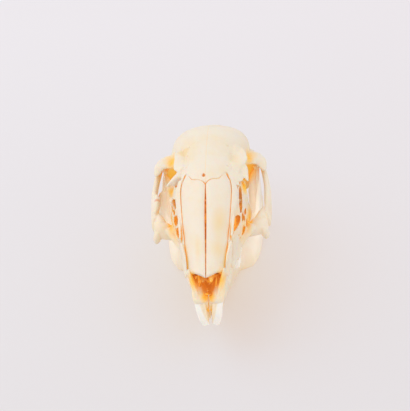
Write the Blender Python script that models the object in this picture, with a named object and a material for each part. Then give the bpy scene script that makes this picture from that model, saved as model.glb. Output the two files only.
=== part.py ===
"""A rabbit's skull with its lower jaw, life size, as one named solid for each bone or row of teeth.

Sizes are in millimetres and become metres in mesh_object(). Every form is laid out on the skull's own
measuring frame: x to the animal's left, y back from the front of the incisors, z up from the surface
that the lower jaw rests on. Y_MIDDLE then puts the origin under the middle of the skull.
"""
import math

import bmesh
import bpy
import numpy as np
from mathutils import Matrix, Vector

# Driving dimensions
LENGTH = 82.0            # front of the upper incisors to the back of the skull
NASAL_TIP_Y = 3.4        # the nasal bones overhang the nose opening down to here
NASAL_TIP_Z = 33.0
CROWN_Z = 46.6           # highest point of the brow
BRAIN_HALF_WIDTH = 14.1
BITE_Z = 15.4            # height at which upper and lower cheek teeth meet
GAP = 0.3                # clear space between bones that touch
Y_MIDDLE = LENGTH / 2
MM = 0.001

# Cuts between bones, as places along y or heights
SNOUT_SUTURE_Y = 18.0    # premaxilla in front, maxilla behind
CHEEK_SUTURE_Y = 39.0    # maxilla's cheek root in front, cheek bone behind
CORONAL_SUTURE_Y = 58.0  # frontal in front, parietal behind
LAMBDOID_SUTURE_Y = 74.0  # parietal in front, occipital behind
SQUAMOUS_SUTURE_Z = 36.5  # parietal above, temporal below

IVORY = (0.86, 0.78, 0.62)
WARM_BONE = (0.80, 0.62, 0.38)
ENAMEL = (0.88, 0.85, 0.76)


def curve(*keys):
    """A smooth curve through (place, value) keys that never overshoots them."""
    at, value = np.array(keys, float).T
    steps = np.diff(value) / np.diff(at)
    slopes = np.concatenate([steps[:1], np.zeros(len(steps) - 1), steps[-1:]])
    same_way = steps[:-1] * steps[1:] > 0
    both = np.where(same_way, steps[:-1] + steps[1:], 1.0)
    slopes[1:-1] = np.where(same_way, 2 * steps[:-1] * steps[1:] / both, 0.0)

    def reading(place):
        place = np.clip(place, at[0], at[-1])
        i = np.clip(np.searchsorted(at, place) - 1, 0, len(at) - 2)
        span = at[i + 1] - at[i]
        t = (place - at[i]) / span
        rise = (3 - 2 * t) * t * t
        bend = span * t * (1 - t)
        return (value[i] * (1 - rise) + value[i + 1] * rise
                + bend * ((1 - t) * slopes[i] - t * slopes[i + 1]))

    return reading


def level(number):
    """A curve that is the same number everywhere."""
    return lambda place: np.zeros_like(np.asarray(place, float)) + number


# Curves of the whole skull along y
ROOF = curve((2, NASAL_TIP_Z - 1.0), (NASAL_TIP_Y, NASAL_TIP_Z), (12, 36.4), (24, 41.2), (37, 45.2),
             (47, CROWN_Z), (56, 46.2), (63, 45.0), (69, 43.1), (75, 39.5), (79, 35.8), (LENGTH, 32.0))
NASAL_HALF_WIDTH = curve((2, 5.6), (8, 6.3), (16, 6.9), (26, 7.9), (36, 8.5), (43, 7.6))
ROOF_DROP = curve((2, 2.6), (20, 2.6), (34, 2.4), (44, 2.0))  # fall from the midline to the nasal's outer edge


def placed(name, bm):
    """A new object from a closed form, with its faces turned outwards."""
    bm.normal_update()
    bmesh.ops.recalc_face_normals(bm, faces=bm.faces)
    if bm.calc_volume(signed=True) < 0:
        bmesh.ops.reverse_faces(bm, faces=bm.faces)
    mesh = bpy.data.meshes.new(name)
    bm.to_mesh(mesh)
    bm.free()
    obj = bpy.data.objects.new(name, mesh)
    bpy.context.scene.collection.objects.link(obj)
    return obj


def mesh_object(name, rings):
    """A closed body through rings of points, one ring for each station, with a flat cap on each end."""
    rings = np.asarray(rings, float)
    stations, around = rings.shape[:2]
    bm = bmesh.new()
    place = (rings.reshape(-1, 3) - (0, Y_MIDDLE, 0)) * MM
    verts = [bm.verts.new(p) for p in place]
    for s in range(stations - 1):
        for r in range(around):
            q = (r + 1) % around
            bm.faces.new((verts[s * around + r], verts[s * around + q],
                          verts[(s + 1) * around + q], verts[(s + 1) * around + r]))
    bm.faces.new(verts[:around])
    bm.faces.new(verts[-around:])
    bmesh.ops.recalc_face_normals(bm, faces=bm.faces)
    mesh = bpy.data.meshes.new(name)
    bm.to_mesh(mesh)
    bm.free()
    obj = bpy.data.objects.new(name, mesh)
    bpy.context.scene.collection.objects.link(obj)
    return obj


def oval(around, power=2.0):
    """(across, up) of a ring of unit half-size; a power over 2 squares its corners."""
    angle = np.arange(around) * 2 * math.pi / around
    across, up = np.cos(angle), np.sin(angle)
    return (np.sign(across) * np.abs(across) ** (2 / power), np.sign(up) * np.abs(up) ** (2 / power))


def end_rounding(y, first, last, length):
    """From near 0 at either end to 1 a given length in, as a quarter of an ellipse; 1 all along for no length."""
    if length == 0:
        return np.ones_like(y)
    inward = np.clip(np.minimum(y - first, last - y) / length, 0.0, 1.0)
    return np.sqrt(np.maximum(1 - (1 - inward) ** 2, 0.0064))


def spread(first, last, count):
    """Stations that lie closer together towards both ends."""
    even = np.linspace(0, 1, count)
    eased = 0.5 - 0.5 * np.cos(math.pi * even)
    return first + (last - first) * (0.55 * even + 0.45 * eased)


def along_y(name, first, last, centre_x, centre_z, half_x, half_z, tilt=0.0, power=2.0,
            stations=10, around=12, rounding=2.0):
    """A body whose upright oval sections follow curves of y. tilt leans each section outwards, in degrees."""
    y = spread(first, last, stations)
    shrink = end_rounding(y, first, last, rounding)
    across, up = oval(around, power)
    wide = np.outer(half_x(y) * shrink, across)
    high = np.outer(half_z(y) * shrink, up)
    lean = np.radians(tilt(y) if callable(tilt) else np.full_like(y, tilt))[:, None]
    x = centre_x(y)[:, None] + wide * np.cos(lean) + high * np.sin(lean)
    z = centre_z(y)[:, None] - wide * np.sin(lean) + high * np.cos(lean)
    rings = np.stack([x, np.repeat(y[:, None], around, 1), z], -1)
    return mesh_object(name, rings)


def limb(name, points, wide, thick, up=(0, 0, 1), power=2.0, stations=8, around=10, rounding=0.18):
    """A body along a smooth path through points. wide and thick are its half sizes at those points,
    and up tells which way thick is measured from the path."""
    points = np.array(points, float)
    key = np.concatenate([[0], np.cumsum(np.linalg.norm(np.diff(points, axis=0), axis=1))])
    key /= key[-1]
    t = spread(0, 1, stations)
    read = [curve(*zip(key, points[:, i])) for i in range(3)]
    centre = np.stack([r(t) for r in read], 1)
    ahead = np.gradient(centre, axis=0)
    ahead /= np.linalg.norm(ahead, axis=1)[:, None]
    across = np.cross(ahead, np.array(up, float))
    across /= np.linalg.norm(across, axis=1)[:, None]
    over = np.cross(across, ahead)
    shrink = end_rounding(t, 0, 1, rounding)
    half_wide = curve(*zip(key, wide))(t) * shrink
    half_thick = curve(*zip(key, thick))(t) * shrink
    ring_a, ring_b = oval(around, power)
    rings = (centre[:, None] + across[:, None] * (half_wide[:, None] * ring_a)[..., None]
             + over[:, None] * (half_thick[:, None] * ring_b)[..., None])
    return mesh_object(name, rings)


def egg(name, centre, half, turn=(0, 0, 0), rows=10, columns=14):
    """A rounded lump: a sphere stretched to its half sizes, then turned, in degrees."""
    bm = bmesh.new()
    bmesh.ops.create_uvsphere(bm, u_segments=columns, v_segments=rows, radius=1.0)
    spin = Matrix.Rotation(math.radians(turn[2]), 3, "Z") @ Matrix.Rotation(math.radians(turn[1]), 3, "Y")
    spin = spin @ Matrix.Rotation(math.radians(turn[0]), 3, "X")
    for v in bm.verts:
        local = spin @ Vector((v.co.x * half[0], v.co.y * half[1], v.co.z * half[2]))
        x, y, z = local + Vector(centre)
        v.co = Vector((x, y - Y_MIDDLE, z)) * MM
    return placed(name, bm)


def block(name, low, high):
    """A plain box, used only to trim bones along their sutures."""
    bm = bmesh.new()
    bmesh.ops.create_cube(bm, size=1.0)
    low, high = np.array(low, float), np.array(high, float)
    for v in bm.verts:
        corner = (low + high) / 2 + np.array(v.co) * (high - low)
        v.co = Vector((corner[0], corner[1] - Y_MIDDLE, corner[2])) * MM
    return placed(name, bm)


def apply_boolean(obj, operation, other=None, group=None):
    modifier = obj.modifiers.new(operation, "BOOLEAN")
    modifier.operation = operation
    modifier.solver = "EXACT"
    if group is not None:
        modifier.operand_type = "COLLECTION"
        modifier.collection = group
    else:
        modifier.object = other
    graph = bpy.context.evaluated_depsgraph_get()
    mesh = bpy.data.meshes.new_from_object(obj.evaluated_get(graph))
    obj.modifiers.clear()
    old = obj.data
    obj.data = mesh
    bpy.data.meshes.remove(old)


def remove(*objs):
    for obj in objs:
        bpy.data.objects.remove(obj)


def largest_only(obj):
    """Drops every loose scrap but the largest closed surface."""
    bm = bmesh.new()
    bm.from_mesh(obj.data)
    bmesh.ops.remove_doubles(bm, verts=bm.verts, dist=1e-6)
    bmesh.ops.dissolve_degenerate(bm, edges=bm.edges, dist=1e-6)
    left = set(bm.verts)
    groups = []
    while left:
        stack = [left.pop()]
        group = list(stack)
        while stack:
            for edge in stack.pop().link_edges:
                for v in edge.verts:
                    if v in left:
                        left.remove(v)
                        stack.append(v)
                        group.append(v)
        groups.append(group)
    groups.sort(key=lambda g: max(v.co.x for v in g) - min(v.co.x for v in g)
                + max(v.co.y for v in g) - min(v.co.y for v in g)
                + max(v.co.z for v in g) - min(v.co.z for v in g))
    for group in groups[:-1]:
        bmesh.ops.delete(bm, geom=group, context="VERTS")
    bm.to_mesh(obj.data)
    bm.free()


def fused(name, pieces, colour):
    """One bone from overlapping forms, joined by one Boolean union."""
    body = pieces[0]
    if len(pieces) > 1:
        group = bpy.data.collections.new(name + "_forms")
        bpy.context.scene.collection.children.link(group)
        for piece in pieces[1:]:
            group.objects.link(piece)
        apply_boolean(body, "UNION", group=group)
        remove(*pieces[1:])
        bpy.data.collections.remove(group)
    largest_only(body)
    body.name = name
    body.data.name = name
    dress(body, colour)
    return body


def dress(obj, colour, roughness=0.5):
    material = bpy.data.materials.new(obj.name)
    material.use_nodes = True
    shader = material.node_tree.nodes["Principled BSDF"]
    shader.inputs["Base Color"].default_value = (*colour, 1)
    shader.inputs["Roughness"].default_value = roughness
    shader.inputs["Metallic"].default_value = 0.0
    obj.data.materials.clear()
    obj.data.materials.append(material)


def carve(obj, *cutters):
    """Takes closed forms away from a bone."""
    for cutter in cutters:
        apply_boolean(obj, "DIFFERENCE", other=cutter)
    remove(*cutters)
    largest_only(obj)


def trim(obj, axis, low=None, high=None):
    """Cuts a bone square: keeps what lies between low and high along the axis."""
    far = 200.0
    for limit, keep_above in ((low, True), (high, False)):
        if limit is None:
            continue
        corners = [[-far] * 3, [far] * 3]
        corners[1 if keep_above else 0][axis] = limit
        cutter = block("trim", *corners)
        apply_boolean(obj, "DIFFERENCE", other=cutter)
        remove(cutter)
    largest_only(obj)


# Forms of the braincase, shared by the bones that are cut from it
BRAIN_FLOOR = curve((48, 35.0), (54, 29.5), (60, 25.6), (66, 24.4), (76, 24.0), (LENGTH, 26.0))
BRAIN_WIDTH = curve((48, 3.0), (52, 6.2), (57, 10.8), (62, 13.4), (66, BRAIN_HALF_WIDTH), (71, 13.6),
                    (76, 11.8), (80, 9.0), (LENGTH, 7.4))
MOUTH_ROOF_Z = BITE_Z + 4.0
ORBIT_REAR_Y = 51.0


def braincase(name):
    """The whole closed form of the braincase, before sutures divide it."""
    return along_y(name, 47.6, LENGTH - 1.0, level(0.0),
                   lambda y: (ROOF(y) + BRAIN_FLOOR(y)) / 2, BRAIN_WIDTH,
                   lambda y: (ROOF(y) - BRAIN_FLOOR(y)) / 2,
                   power=2.15, stations=17, around=28, rounding=2.2)


def cut_plane(obj, point, outward):
    """Takes away all that lies past a plane, on the side that outward points to."""
    n = Vector(outward).normalized()
    other = n.orthogonal().normalized()
    third = n.cross(other)
    bm = bmesh.new()
    bmesh.ops.create_cube(bm, size=1.0)
    base = Vector((point[0], point[1] - Y_MIDDLE, point[2]))
    for v in bm.verts:
        v.co = (base + n * (v.co.x + 0.5) * 150 + other * v.co.y * 300 + third * v.co.z * 300) * MM
    cutter = placed("plane", bm)
    apply_boolean(obj, "DIFFERENCE", other=cutter)
    remove(cutter)
    largest_only(obj)


def left_half(obj):
    """Keeps the half of a bone on the left of the midline."""
    cut_plane(obj, (GAP / 2, 0, 0), (-1, 0, 0))


def mirrored(bone):
    """The same bone of the other side."""
    twin = bone.copy()
    twin.data = bone.data.copy()
    bpy.context.scene.collection.objects.link(twin)
    bm = bmesh.new()
    bm.from_mesh(twin.data)
    bmesh.ops.scale(bm, verts=bm.verts, vec=(-1, 1, 1))
    bmesh.ops.reverse_faces(bm, faces=bm.faces)
    bm.to_mesh(twin.data)
    bm.free()
    twin.name = twin.data.name = bone.name.replace("left", "right")


def plate(name, y, inner, outer, top, thick, columns=5):
    """A bowed sheet between two edges that follow y, a given thickness under its top(x, y) surface."""
    share = np.linspace(0, 1, columns)
    x = inner(y)[:, None] + (outer(y) - inner(y))[:, None] * share
    z = top(x, y[:, None])
    under = z - thick(y)[:, None]
    rows = np.stack([x, np.repeat(y[:, None], columns, 1), z], -1)
    below = np.stack([x, np.repeat(y[:, None], columns, 1), under], -1)[:, ::-1]
    return mesh_object(name, np.concatenate([rows, below], 1))


def face_top(x, y):
    """Height of the upper face: it falls from the midline like a flat arch."""
    return ROOF(y) - ROOF_DROP(y) * (x / NASAL_HALF_WIDTH(y)) ** 2


SUTURE_POINT = 37.0                     # nose bones end here on the midline
SUTURE_OUTWARD = (-0.62, 1.0, 0.0)      # and further back towards the eyes


NASAL_THICK = curve((3, 1.0), (10, 1.6), (43, 2.2))


def nasal():
    y = spread(3.0, 43.5, 13)
    bone = plate("nasal", y, level(0.26), NASAL_HALF_WIDTH, face_top, NASAL_THICK, columns=6)
    name = "nasal_left"
    cut_plane(bone, (0, NASAL_TIP_Y, 0), (4.0, -6.2, 0))
    cut_plane(bone, (0, SUTURE_POINT - GAP / 2, 0), SUTURE_OUTWARD)
    return fused(name, [bone], IVORY)


def strip_outer(y):
    """Outer edge of the premaxilla's long strip beside the nose bone."""
    return NASAL_HALF_WIDTH(y) + curve((6, 0.7), (14, 1.5), (32, 1.4), (41, 0.9))(y)


STRIP_THICK = curve((6, 1.6), (18, 2.6), (41, 1.4))


def nasal_clearance():
    """The nose bone with the gap round it, for cutting the wall under it."""
    return plate("clearance", spread(0.5, 44.0, 13), level(-1.0), lambda y: NASAL_HALF_WIDTH(y) + GAP,
                 lambda x, y: face_top(x, y) + 6.0, lambda y: NASAL_THICK(y) + 6.0 + 1.5 * GAP)


def strip_clearance():
    """The strip and the nose bone with the gap round them, for cutting the cheek's upper edge."""
    return plate("clearance", spread(5.0, 42.5, 12), lambda y: NASAL_HALF_WIDTH(y) - 3.0,
                 lambda y: strip_outer(y) + GAP, lambda x, y: face_top(x, y) + 6.0,
                 lambda y: STRIP_THICK(y) + 6.0 + 1.5 * GAP, columns=5)


def premaxilla():
    y = spread(6.5, 41.0, 11)
    strip = plate("strip", y, lambda y: NASAL_HALF_WIDTH(y) + GAP,
                  strip_outer, face_top, STRIP_THICK, columns=3)
    wall = along_y("wall", 2.2, SNOUT_SUTURE_Y + 3,
                   curve((2, 3.4), (7, 5.0), (18, 7.4)), curve((2, 24.5), (8, 27.8), (18, 29.4)),
                   curve((2, 1.0), (8, 1.3), (18, 1.4)), curve((2, 3.2), (8, 6.4), (18, 8.3)),
                   tilt=curve((2, 8), (18, 9)), power=2.4, stations=9, around=12, rounding=1.6)
    carve(wall, nasal_clearance())
    floor = along_y("floor", 1.4, SNOUT_SUTURE_Y + 3,
                    curve((1, 2.3), (8, 3.0), (18, 4.3)), curve((1, 22.6), (8, 22.2), (18, 21.6)),
                    curve((1, 2.1), (8, 2.7), (18, 2.9)), curve((1, 3.6), (8, 3.3), (18, 2.2)),
                    stations=9, around=12, rounding=2.0)
    join = along_y("join", 10.0, SNOUT_SUTURE_Y + 2, curve((10, 4.8), (18, 6.3)), level(22.6), level(2.0),
                   level(2.0), stations=4, around=10, rounding=1.0)
    sheath = limb("sheath", [(3.5, 9.4, 26.2), (3.1, 5.6, 25.4), (2.8, 3.3, 23.2), (2.7, 2.9, 21.4)],
                  [2.3, 2.5, 2.4, 2.2], [2.3, 2.3, 2.3, 2.1], up=(0, 1, -0.4), stations=8, around=12,
                  rounding=0.06)
    wedge = limb("wedge", [(0.7, 5.0, 23.4), (0.75, 3.4, 21.0), (0.6, 3.2, 18.6), (0.45, 3.4, 17.0)], [1.2, 1.0, 0.6, 0.35],
                 [1.5, 1.2, 0.8, 0.5], up=(0, 1, 0), stations=6, around=10, rounding=0.15)
    block_of_bone = fused("block_of_bone", [wall, floor, join, sheath, wedge], IVORY)
    trim(block_of_bone, 1, high=SNOUT_SUTURE_Y - GAP / 2)
    bone = fused("premaxilla_left", [block_of_bone, strip], IVORY)
    left_half(bone)
    carve(bone, upper_incisor_form("socket", GAP), peg_form("peg_socket", GAP))
    return bone


def upper_incisor_form(name, extra=0.0):
    path = [(2.7, 9.6 + extra, 27.4), (2.85, 5.8, 26.0), (2.9, 3.0, 22.6), (2.3, 1.6, 17.8), (1.72, 2.1, 12.6)]
    wide = [w + extra for w in (1.1, 1.3, 1.45, 1.4, 1.15)]
    thick = [t + extra for t in (1.0, 1.15, 1.25, 1.25, 0.75)]
    return limb(name, path, wide, thick, up=(0, 1, -0.4), power=2.6, stations=11, around=12, rounding=0.05)


def peg_form(name, extra=0.0):
    path = [(1.9, 7.0, 23.6 + extra), (1.7, 6.0, 21.4), (1.5, 4.7, 18.8)]
    size = [0.75 + extra, 0.75 + extra, 0.5 + extra]
    return limb(name, path, size, size, up=(0, 1, 0), stations=5, around=8, rounding=0.1)


def upper_incisor():
    name = "upper_incisor_left"
    return fused(name, [upper_incisor_form("tooth"), peg_form("peg")], ENAMEL)


def cheek_clearance():
    """The front of the cheek bone's arch with the gap round it, for cutting the root square."""
    return block("clearance", (18.1, CHEEK_SUTURE_Y - GAP / 2, 10.0), (24.0, 60.0, 34.0))


def maxilla():
    wall = along_y("wall", SNOUT_SUTURE_Y - 2, 43.0,
                   curve((18, 7.4), (26, 9.0), (34, 11.0), (43, 12.2)),
                   curve((18, 29.4), (30, 31.0), (43, 33.4)),
                   curve((18, 1.4), (30, 1.4), (43, 1.2)), curve((18, 8.3), (30, 7.8), (43, 6.4)),
                   tilt=curve((18, 9), (26, -6), (34, -22), (43, -20)), power=2.4, stations=10, around=12,
                   rounding=0.8)
    tear_corner = limb("tear_corner", [(10.8, 41.4, 38.4), (12.9, 42.6, 35.0), (14.2, 41.6, 30.4)],
                       [1.6, 2.4, 2.6], [1.0, 1.3, 1.4], up=(1, 0, 0.5), stations=5, around=10, rounding=0.15)
    bar = along_y("bar", SNOUT_SUTURE_Y - 3, 29.0, curve((18, 5.0), (29, 7.6)), curve((18, 21.8), (29, 22.4)),
                  curve((18, 3.1), (29, 2.9)), level(2.3), stations=6, around=10, rounding=0.6)
    sockets = along_y("sockets", 23.6, 46.0, curve((23, 7.6), (46, 8.4)), curve((23, 22.8), (46, 22.6)),
                      curve((23, 2.5), (40, 2.9), (46, 2.0)), curve((23, 3.2), (40, 3.5), (46, 2.8)),
                      power=3.0, stations=9, around=14, rounding=2.0)
    palate = along_y("palate", 31.0, 39.0, level(3.2), level(20.6), level(3.6), level(0.95),
                     power=3.5, stations=4, around=10, rounding=1.2)
    dome = egg("dome", (11.2, 43.6, 25.0), (5.4, 6.4, 4.8), rows=8, columns=14)
    shelf = egg("shelf", (14.0, 40.6, 26.2), (4.0, 5.6, 2.6), rows=6, columns=12)
    root = limb("root", [(9.4, 36.8, 29.0), (13.2, 36.2, 27.4), (17.0, 37.0, 25.0), (19.4, 38.85, 24.4)],
                [4.4, 3.4, 2.8, 1.4], [4.4, 3.2, 3.0, 3.4], power=2.3, stations=8, around=12, rounding=0.1)
    spur = limb("spur", [(17.6, 37.0, 25.2), (18.7, 35.4, 22.4), (19.3, 34.2, 20.0)],
                [2.4, 2.0, 1.4], [1.5, 1.5, 1.1], up=(1, 0, 0), stations=6, around=10, rounding=0.3)
    name = "maxilla_left"
    bone = fused(name, [wall, tear_corner, bar, sockets, palate, dome, shelf, root, spur], IVORY)
    left_half(bone)
    trim(bone, 2, low=MOUTH_ROOF_Z + GAP / 2)
    trim(bone, 1, low=SNOUT_SUTURE_Y + GAP / 2)
    carve(bone, strip_clearance(), cheek_clearance())
    return bone


def cheek_row(name, first, sizes, across, low, high, half_width):
    """A row of cheek teeth: each is two rounded ridges, side by side along the jaw."""
    forms = []
    place = first
    for number, size in enumerate(sizes):
        for ridge in (0.27, 0.73):
            y = place + size * ridge
            wide = half_width(y) * (1.0 if ridge < 0.5 else 0.94)
            x = float(across(y))
            forms.append(limb(f"{name}_{number}", [(x, y, low), (x, y, high)], [wide, wide * 0.95],
                              [size * 0.3, size * 0.27], up=(0, 1, 0), power=2.8, stations=2, around=10,
                              rounding=0))
        place += size
    return fused(name, forms, ENAMEL)


def upper_cheek_teeth():
    name = "upper_cheek_teeth_left"
    return cheek_row(name, 25.4, (2.0, 2.8, 2.8, 2.8, 2.6, 1.5), curve((25, 7.9), (40, 8.3)),
                     BITE_Z + GAP / 2, MOUTH_ROOF_Z - GAP / 2, curve((25, 1.5), (28, 1.95), (37, 1.95), (40, 1.0)))


def lower_cheek_teeth():
    name = "lower_cheek_teeth_left"
    return cheek_row(name, 27.0, (2.7, 2.7, 2.7, 2.6, 2.0), curve((27, 5.2), (32, 6.8), (40, 9.0)),
                     12.9, BITE_Z - GAP / 2, curve((27, 1.4), (29, 1.6), (37, 1.6), (40, 1.1)))


def jugal():
    arch = along_y("arch", CHEEK_SUTURE_Y - 2, 66.5,
                   curve((39, 19.3), (44, 20.0), (50, 20.1), (57, 19.3), (66.5, 17.3)),
                   curve((39, 24.4), (46, 26.4), (54, 28.6), (61, 30.2), (66.5, 30.8)),
                   curve((39, 1.2), (48, 0.95), (60, 0.85), (66.5, 0.6)),
                   curve((39, 3.6), (46, 3.3), (54, 2.8), (61, 2.2), (66.5, 1.3)),
                   tilt=-8.0, power=2.6, stations=12, around=10, rounding=1.2)
    trim(arch, 1, low=CHEEK_SUTURE_Y + GAP / 2)
    return fused("jugal_left", [arch], IVORY)


def frontal():
    y = spread(36.2, CORONAL_SUTURE_Y - GAP / 2, 10)
    roof = plate("roof", y, level(GAP / 2), curve((36, 8.6), (41, 8.7), (48, 8.9), (54, 9.2), (58, 10.2)),
                 lambda x, y: ROOF(y) - 0.028 * x ** 2 - 0.25 * np.exp(-((x - 2.2) / 1.8) ** 2),
                 curve((36, 2.4), (46, 3.4), (58, 4.6)), columns=6)
    cut_plane(roof, (0, SUTURE_POINT + GAP / 2, 0), (0.62, -1, 0))
    skull = braincase("front_of_braincase")
    left_half(skull)
    trim(skull, 1, high=CORONAL_SUTURE_Y - GAP / 2)
    trim(skull, 2, low=SQUAMOUS_SUTURE_Z + GAP / 2)
    brow = limb("brow", [(7.9, 46.5, 43.4), (10.2, 48.4, 43.1), (11.5, 51.2, 42.9), (11.4, 54.6, 42.5), (10.3, 57.6, 41.9)],
                [2.2, 2.5, 2.2, 1.9, 1.3], [1.2, 0.8, 0.65, 0.6, 0.5], stations=10, around=10, rounding=0.08)
    front_spike = limb("front_spike", [(8.4, 46.4, 43.2), (11.2, 44.7, 42.2), (13.6, 42.6, 40.8), (15.0, 41.0, 39.7)],
                       [2.0, 1.3, 0.9, 0.5], [0.9, 0.7, 0.6, 0.45], stations=7, around=10, rounding=0.08)
    name = "frontal_left"
    return fused(name, [roof, skull, brow, front_spike], IVORY)


def parietal():
    bone = braincase("parietal")
    left_half(bone)
    trim(bone, 1, CORONAL_SUTURE_Y + GAP / 2, LAMBDOID_SUTURE_Y - GAP / 2)
    trim(bone, 2, low=SQUAMOUS_SUTURE_Z + GAP / 2)
    return fused("parietal_left", [bone], IVORY)


def temporal():
    bone = braincase("temporal")
    left_half(bone)
    trim(bone, 1, ORBIT_REAR_Y + GAP / 2, LAMBDOID_SUTURE_Y - GAP / 2)
    trim(bone, 2, 27.0 + GAP / 2, SQUAMOUS_SUTURE_Z - GAP / 2)
    root = limb("root", [(10.4, 61.2, 34.6), (14.8, 61.0, 34.8), (17.8, 59.4, 34.2), (19.1, 55.4, 33.1)],
                [3.8, 3.4, 2.2, 0.9], [1.3, 1.0, 0.9, 0.6], stations=8, around=10, rounding=0.1)
    trim(root, 2, high=SQUAMOUS_SUTURE_Z - GAP / 2)
    return fused("temporal_left", [bone, root], IVORY)


def occipital():
    bone = braincase("occipital")
    trim(bone, 1, low=LAMBDOID_SUTURE_Y + GAP / 2)
    shield = along_y("shield", 70.0, LENGTH, level(0.0), curve((70, 37.0), (76, 35.0), (82, 33.0)),
                     curve((70, 4.6), (78, 5.2), (82, 3.6)), curve((70, 1.6), (76, 2.4), (82, 1.6)),
                     power=3.0, stations=7, around=14, rounding=1.6)
    trim(shield, 1, low=LAMBDOID_SUTURE_Y + GAP / 2)
    basal = along_y("basal", LAMBDOID_SUTURE_Y + GAP / 2, 80.0, level(0.0), level(25.4), level(3.4), level(2.0),
                    stations=4, around=12, rounding=1.2)
    condyles = [egg("condyle", (s * 3.9, 79.4, 27.2), (1.9, 2.4, 2.9), rows=6, columns=10) for s in (1, -1)]
    prongs = [limb("prong", [(s * 9.2, 75.9, 28.5), (s * 9.9, 76.3, 24.0), (s * 9.9, 75.9, 19.5)],
                   [1.5, 1.2, 0.6], [1.0, 0.9, 0.6], up=(0, 1, 0), stations=5, around=8, rounding=0.2)
              for s in (1, -1)]
    body = fused("occipital", [bone, shield, basal, *condyles, *prongs], IVORY)
    carve(body, egg("foramen", (0, 82.0, 29.6), (3.5, 6.5, 3.3), rows=8, columns=14))
    return body


def bulla():
    shell = egg("shell", (9.4, 67.6, 21.6), (4.3, 5.9, 5.9), turn=(0, 0, 14), rows=9, columns=14)
    tube = limb("tube", [(11.4, 68.6, 23.2), (13.0, 70.2, 26.8), (13.9, 71.4, 30.6)],
                [2.0, 1.6, 1.5], [2.2, 1.7, 1.6], up=(0, 1, 0), stations=6, around=10, rounding=0.1)
    trim(shell, 2, high=27.0 - GAP / 2)
    bone = fused("bulla_left", [shell, tube], IVORY)
    cut_case = braincase("clearance")
    for v in cut_case.data.vertices:
        v.co.x *= 1.025
    carve(bone, cut_case)
    return bone


def skull_base():
    bar = along_y("bar", 50.0, LAMBDOID_SUTURE_Y - GAP / 2, level(0.0), curve((50, 26.0), (60, 25.0), (74, 24.8)),
                  curve((50, 1.5), (60, 2.8), (74, 3.6)), level(1.9), stations=8, around=12, rounding=1.0)
    septum = along_y("septum", 40.5, ORBIT_REAR_Y - GAP / 2, level(0.0),
                     curve((40, 33.2), (45.5, 33.2), (47.4, 30.6), (51, 30.4)), level(0.8),
                     curve((40, 7.6), (45.5, 7.8), (47.4, 5.3), (51, 5.2)), power=3.5, stations=10, around=10,
                     rounding=0.8)
    foot = limb("foot", [(0, 44.0, 26.5), (0, 48.5, 26.2), (0, 53.5, 26.0)], [1.0, 1.2, 1.5], [1.1, 1.3, 1.6],
                stations=5, around=10, rounding=0.15)
    wings = [limb("wing", [(s * 5.2, 46.3, 22.0), (s * 4.6, 50.0, 21.8), (s * 4.0, 55.0, 22.4), (s * 3.4, 59.0, 24.2)],
                  [0.8, 0.7, 0.8, 1.1], [2.5, 3.2, 3.4, 1.6], stations=8, around=10, rounding=0.05)
             for s in (1, -1)]
    bridge = limb("bridge", [(-5.0, 52.5, 25.2), (0, 52.5, 26.2), (5.0, 52.5, 25.2)], [2.2, 2.4, 2.2],
                  [0.8, 1.0, 0.8], stations=5, around=8, rounding=0.1)
    body = fused("skull_base", [bar, septum, foot, bridge, *wings], IVORY)
    trim(body, 2, high=41.2)
    return body


def mandible():
    body = along_y("body", 7.0, 60.0,
                   curve((7, 1.5), (16, 2.1), (24, 3.3), (32, 5.6), (40.2, 7.9), (42.4, 11.0), (50, 14.1), (60, 15.8)),
                   curve((7, 10.8), (16, 9.0), (24, 7.8), (32, 6.6), (42, 6.2), (50, 8.4), (60, 10.6)),
                   curve((7, 1.2), (16, 1.8), (24, 1.8), (32, 1.9), (40.2, 1.9), (42.4, 2.5), (50, 1.5), (60, 0.9)),
                   curve((7, 1.8), (16, 2.9), (24, 3.9), (32, 5.8), (42, 6.4), (50, 8.4), (60, 9.6)),
                   tilt=curve((7, 0), (24, 5), (32, 8), (39, 4), (43, -10), (60, -5)), stations=22, around=14,
                   rounding=1.8)
    ramus = along_y("ramus", 49.0, 71.6, curve((49, 14.4), (56, 15.7), (64, 16.1), (72, 16.0)),
                    curve((49, 10.4), (54, 13.6), (58, 16.6), (63, 16.6), (67, 10.8), (71.6, 8.8)),
                    curve((49, 0.9), (60, 0.75), (71.6, 0.7)),
                    curve((49, 8.6), (54, 12.2), (58, 15.4), (63, 15.6), (66.4, 10.4), (71.6, 6.4)),
                    tilt=2.0, power=2.8, stations=14, around=12, rounding=3.0)
    condyle = egg("condyle", (15.9, 61.2, 31.6), (1.3, 2.7, 1.1), rows=7, columns=10)
    front_edge = limb("front_edge", [(12.6, 47.5, 12.0), (14.6, 51.8, 18.2), (14.8, 56.0, 24.5), (15.6, 59.8, 30.6)],
                      [1.6, 1.7, 2.0, 1.3], [1.4, 1.3, 1.2, 1.0], up=(0, 1, -0.7), stations=8, around=10, rounding=0.1)
    name = "mandible_left"
    bone = fused(name, [body, ramus, front_edge, condyle], IVORY)
    left_half(bone)
    trim(bone, 2, low=0.0)
    carve(bone, lower_incisor_form("socket", GAP))
    return bone


def lower_incisor_form(name, extra=0.0):
    path = [(1.95, 13.0 + extra, 9.0), (1.7, 8.6, 10.2), (1.5, 5.6, 12.4), (1.42, 4.6, 15.2), (1.4, 4.75, 16.8)]
    wide = [w + extra for w in (1.0, 1.15, 1.2, 1.15, 1.1)]
    thick = [t + extra for t in (0.9, 1.0, 1.0, 0.85, 0.5)]
    return limb(name, path, wide, thick, up=(0, 1, 0.5), power=2.6, stations=10, around=10, rounding=0.05)


def lower_incisor():
    name = "lower_incisor_left"
    return fused(name, [lower_incisor_form(name)], ENAMEL)


for leftover in list(bpy.data.objects):
    bpy.data.objects.remove(leftover)

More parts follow.
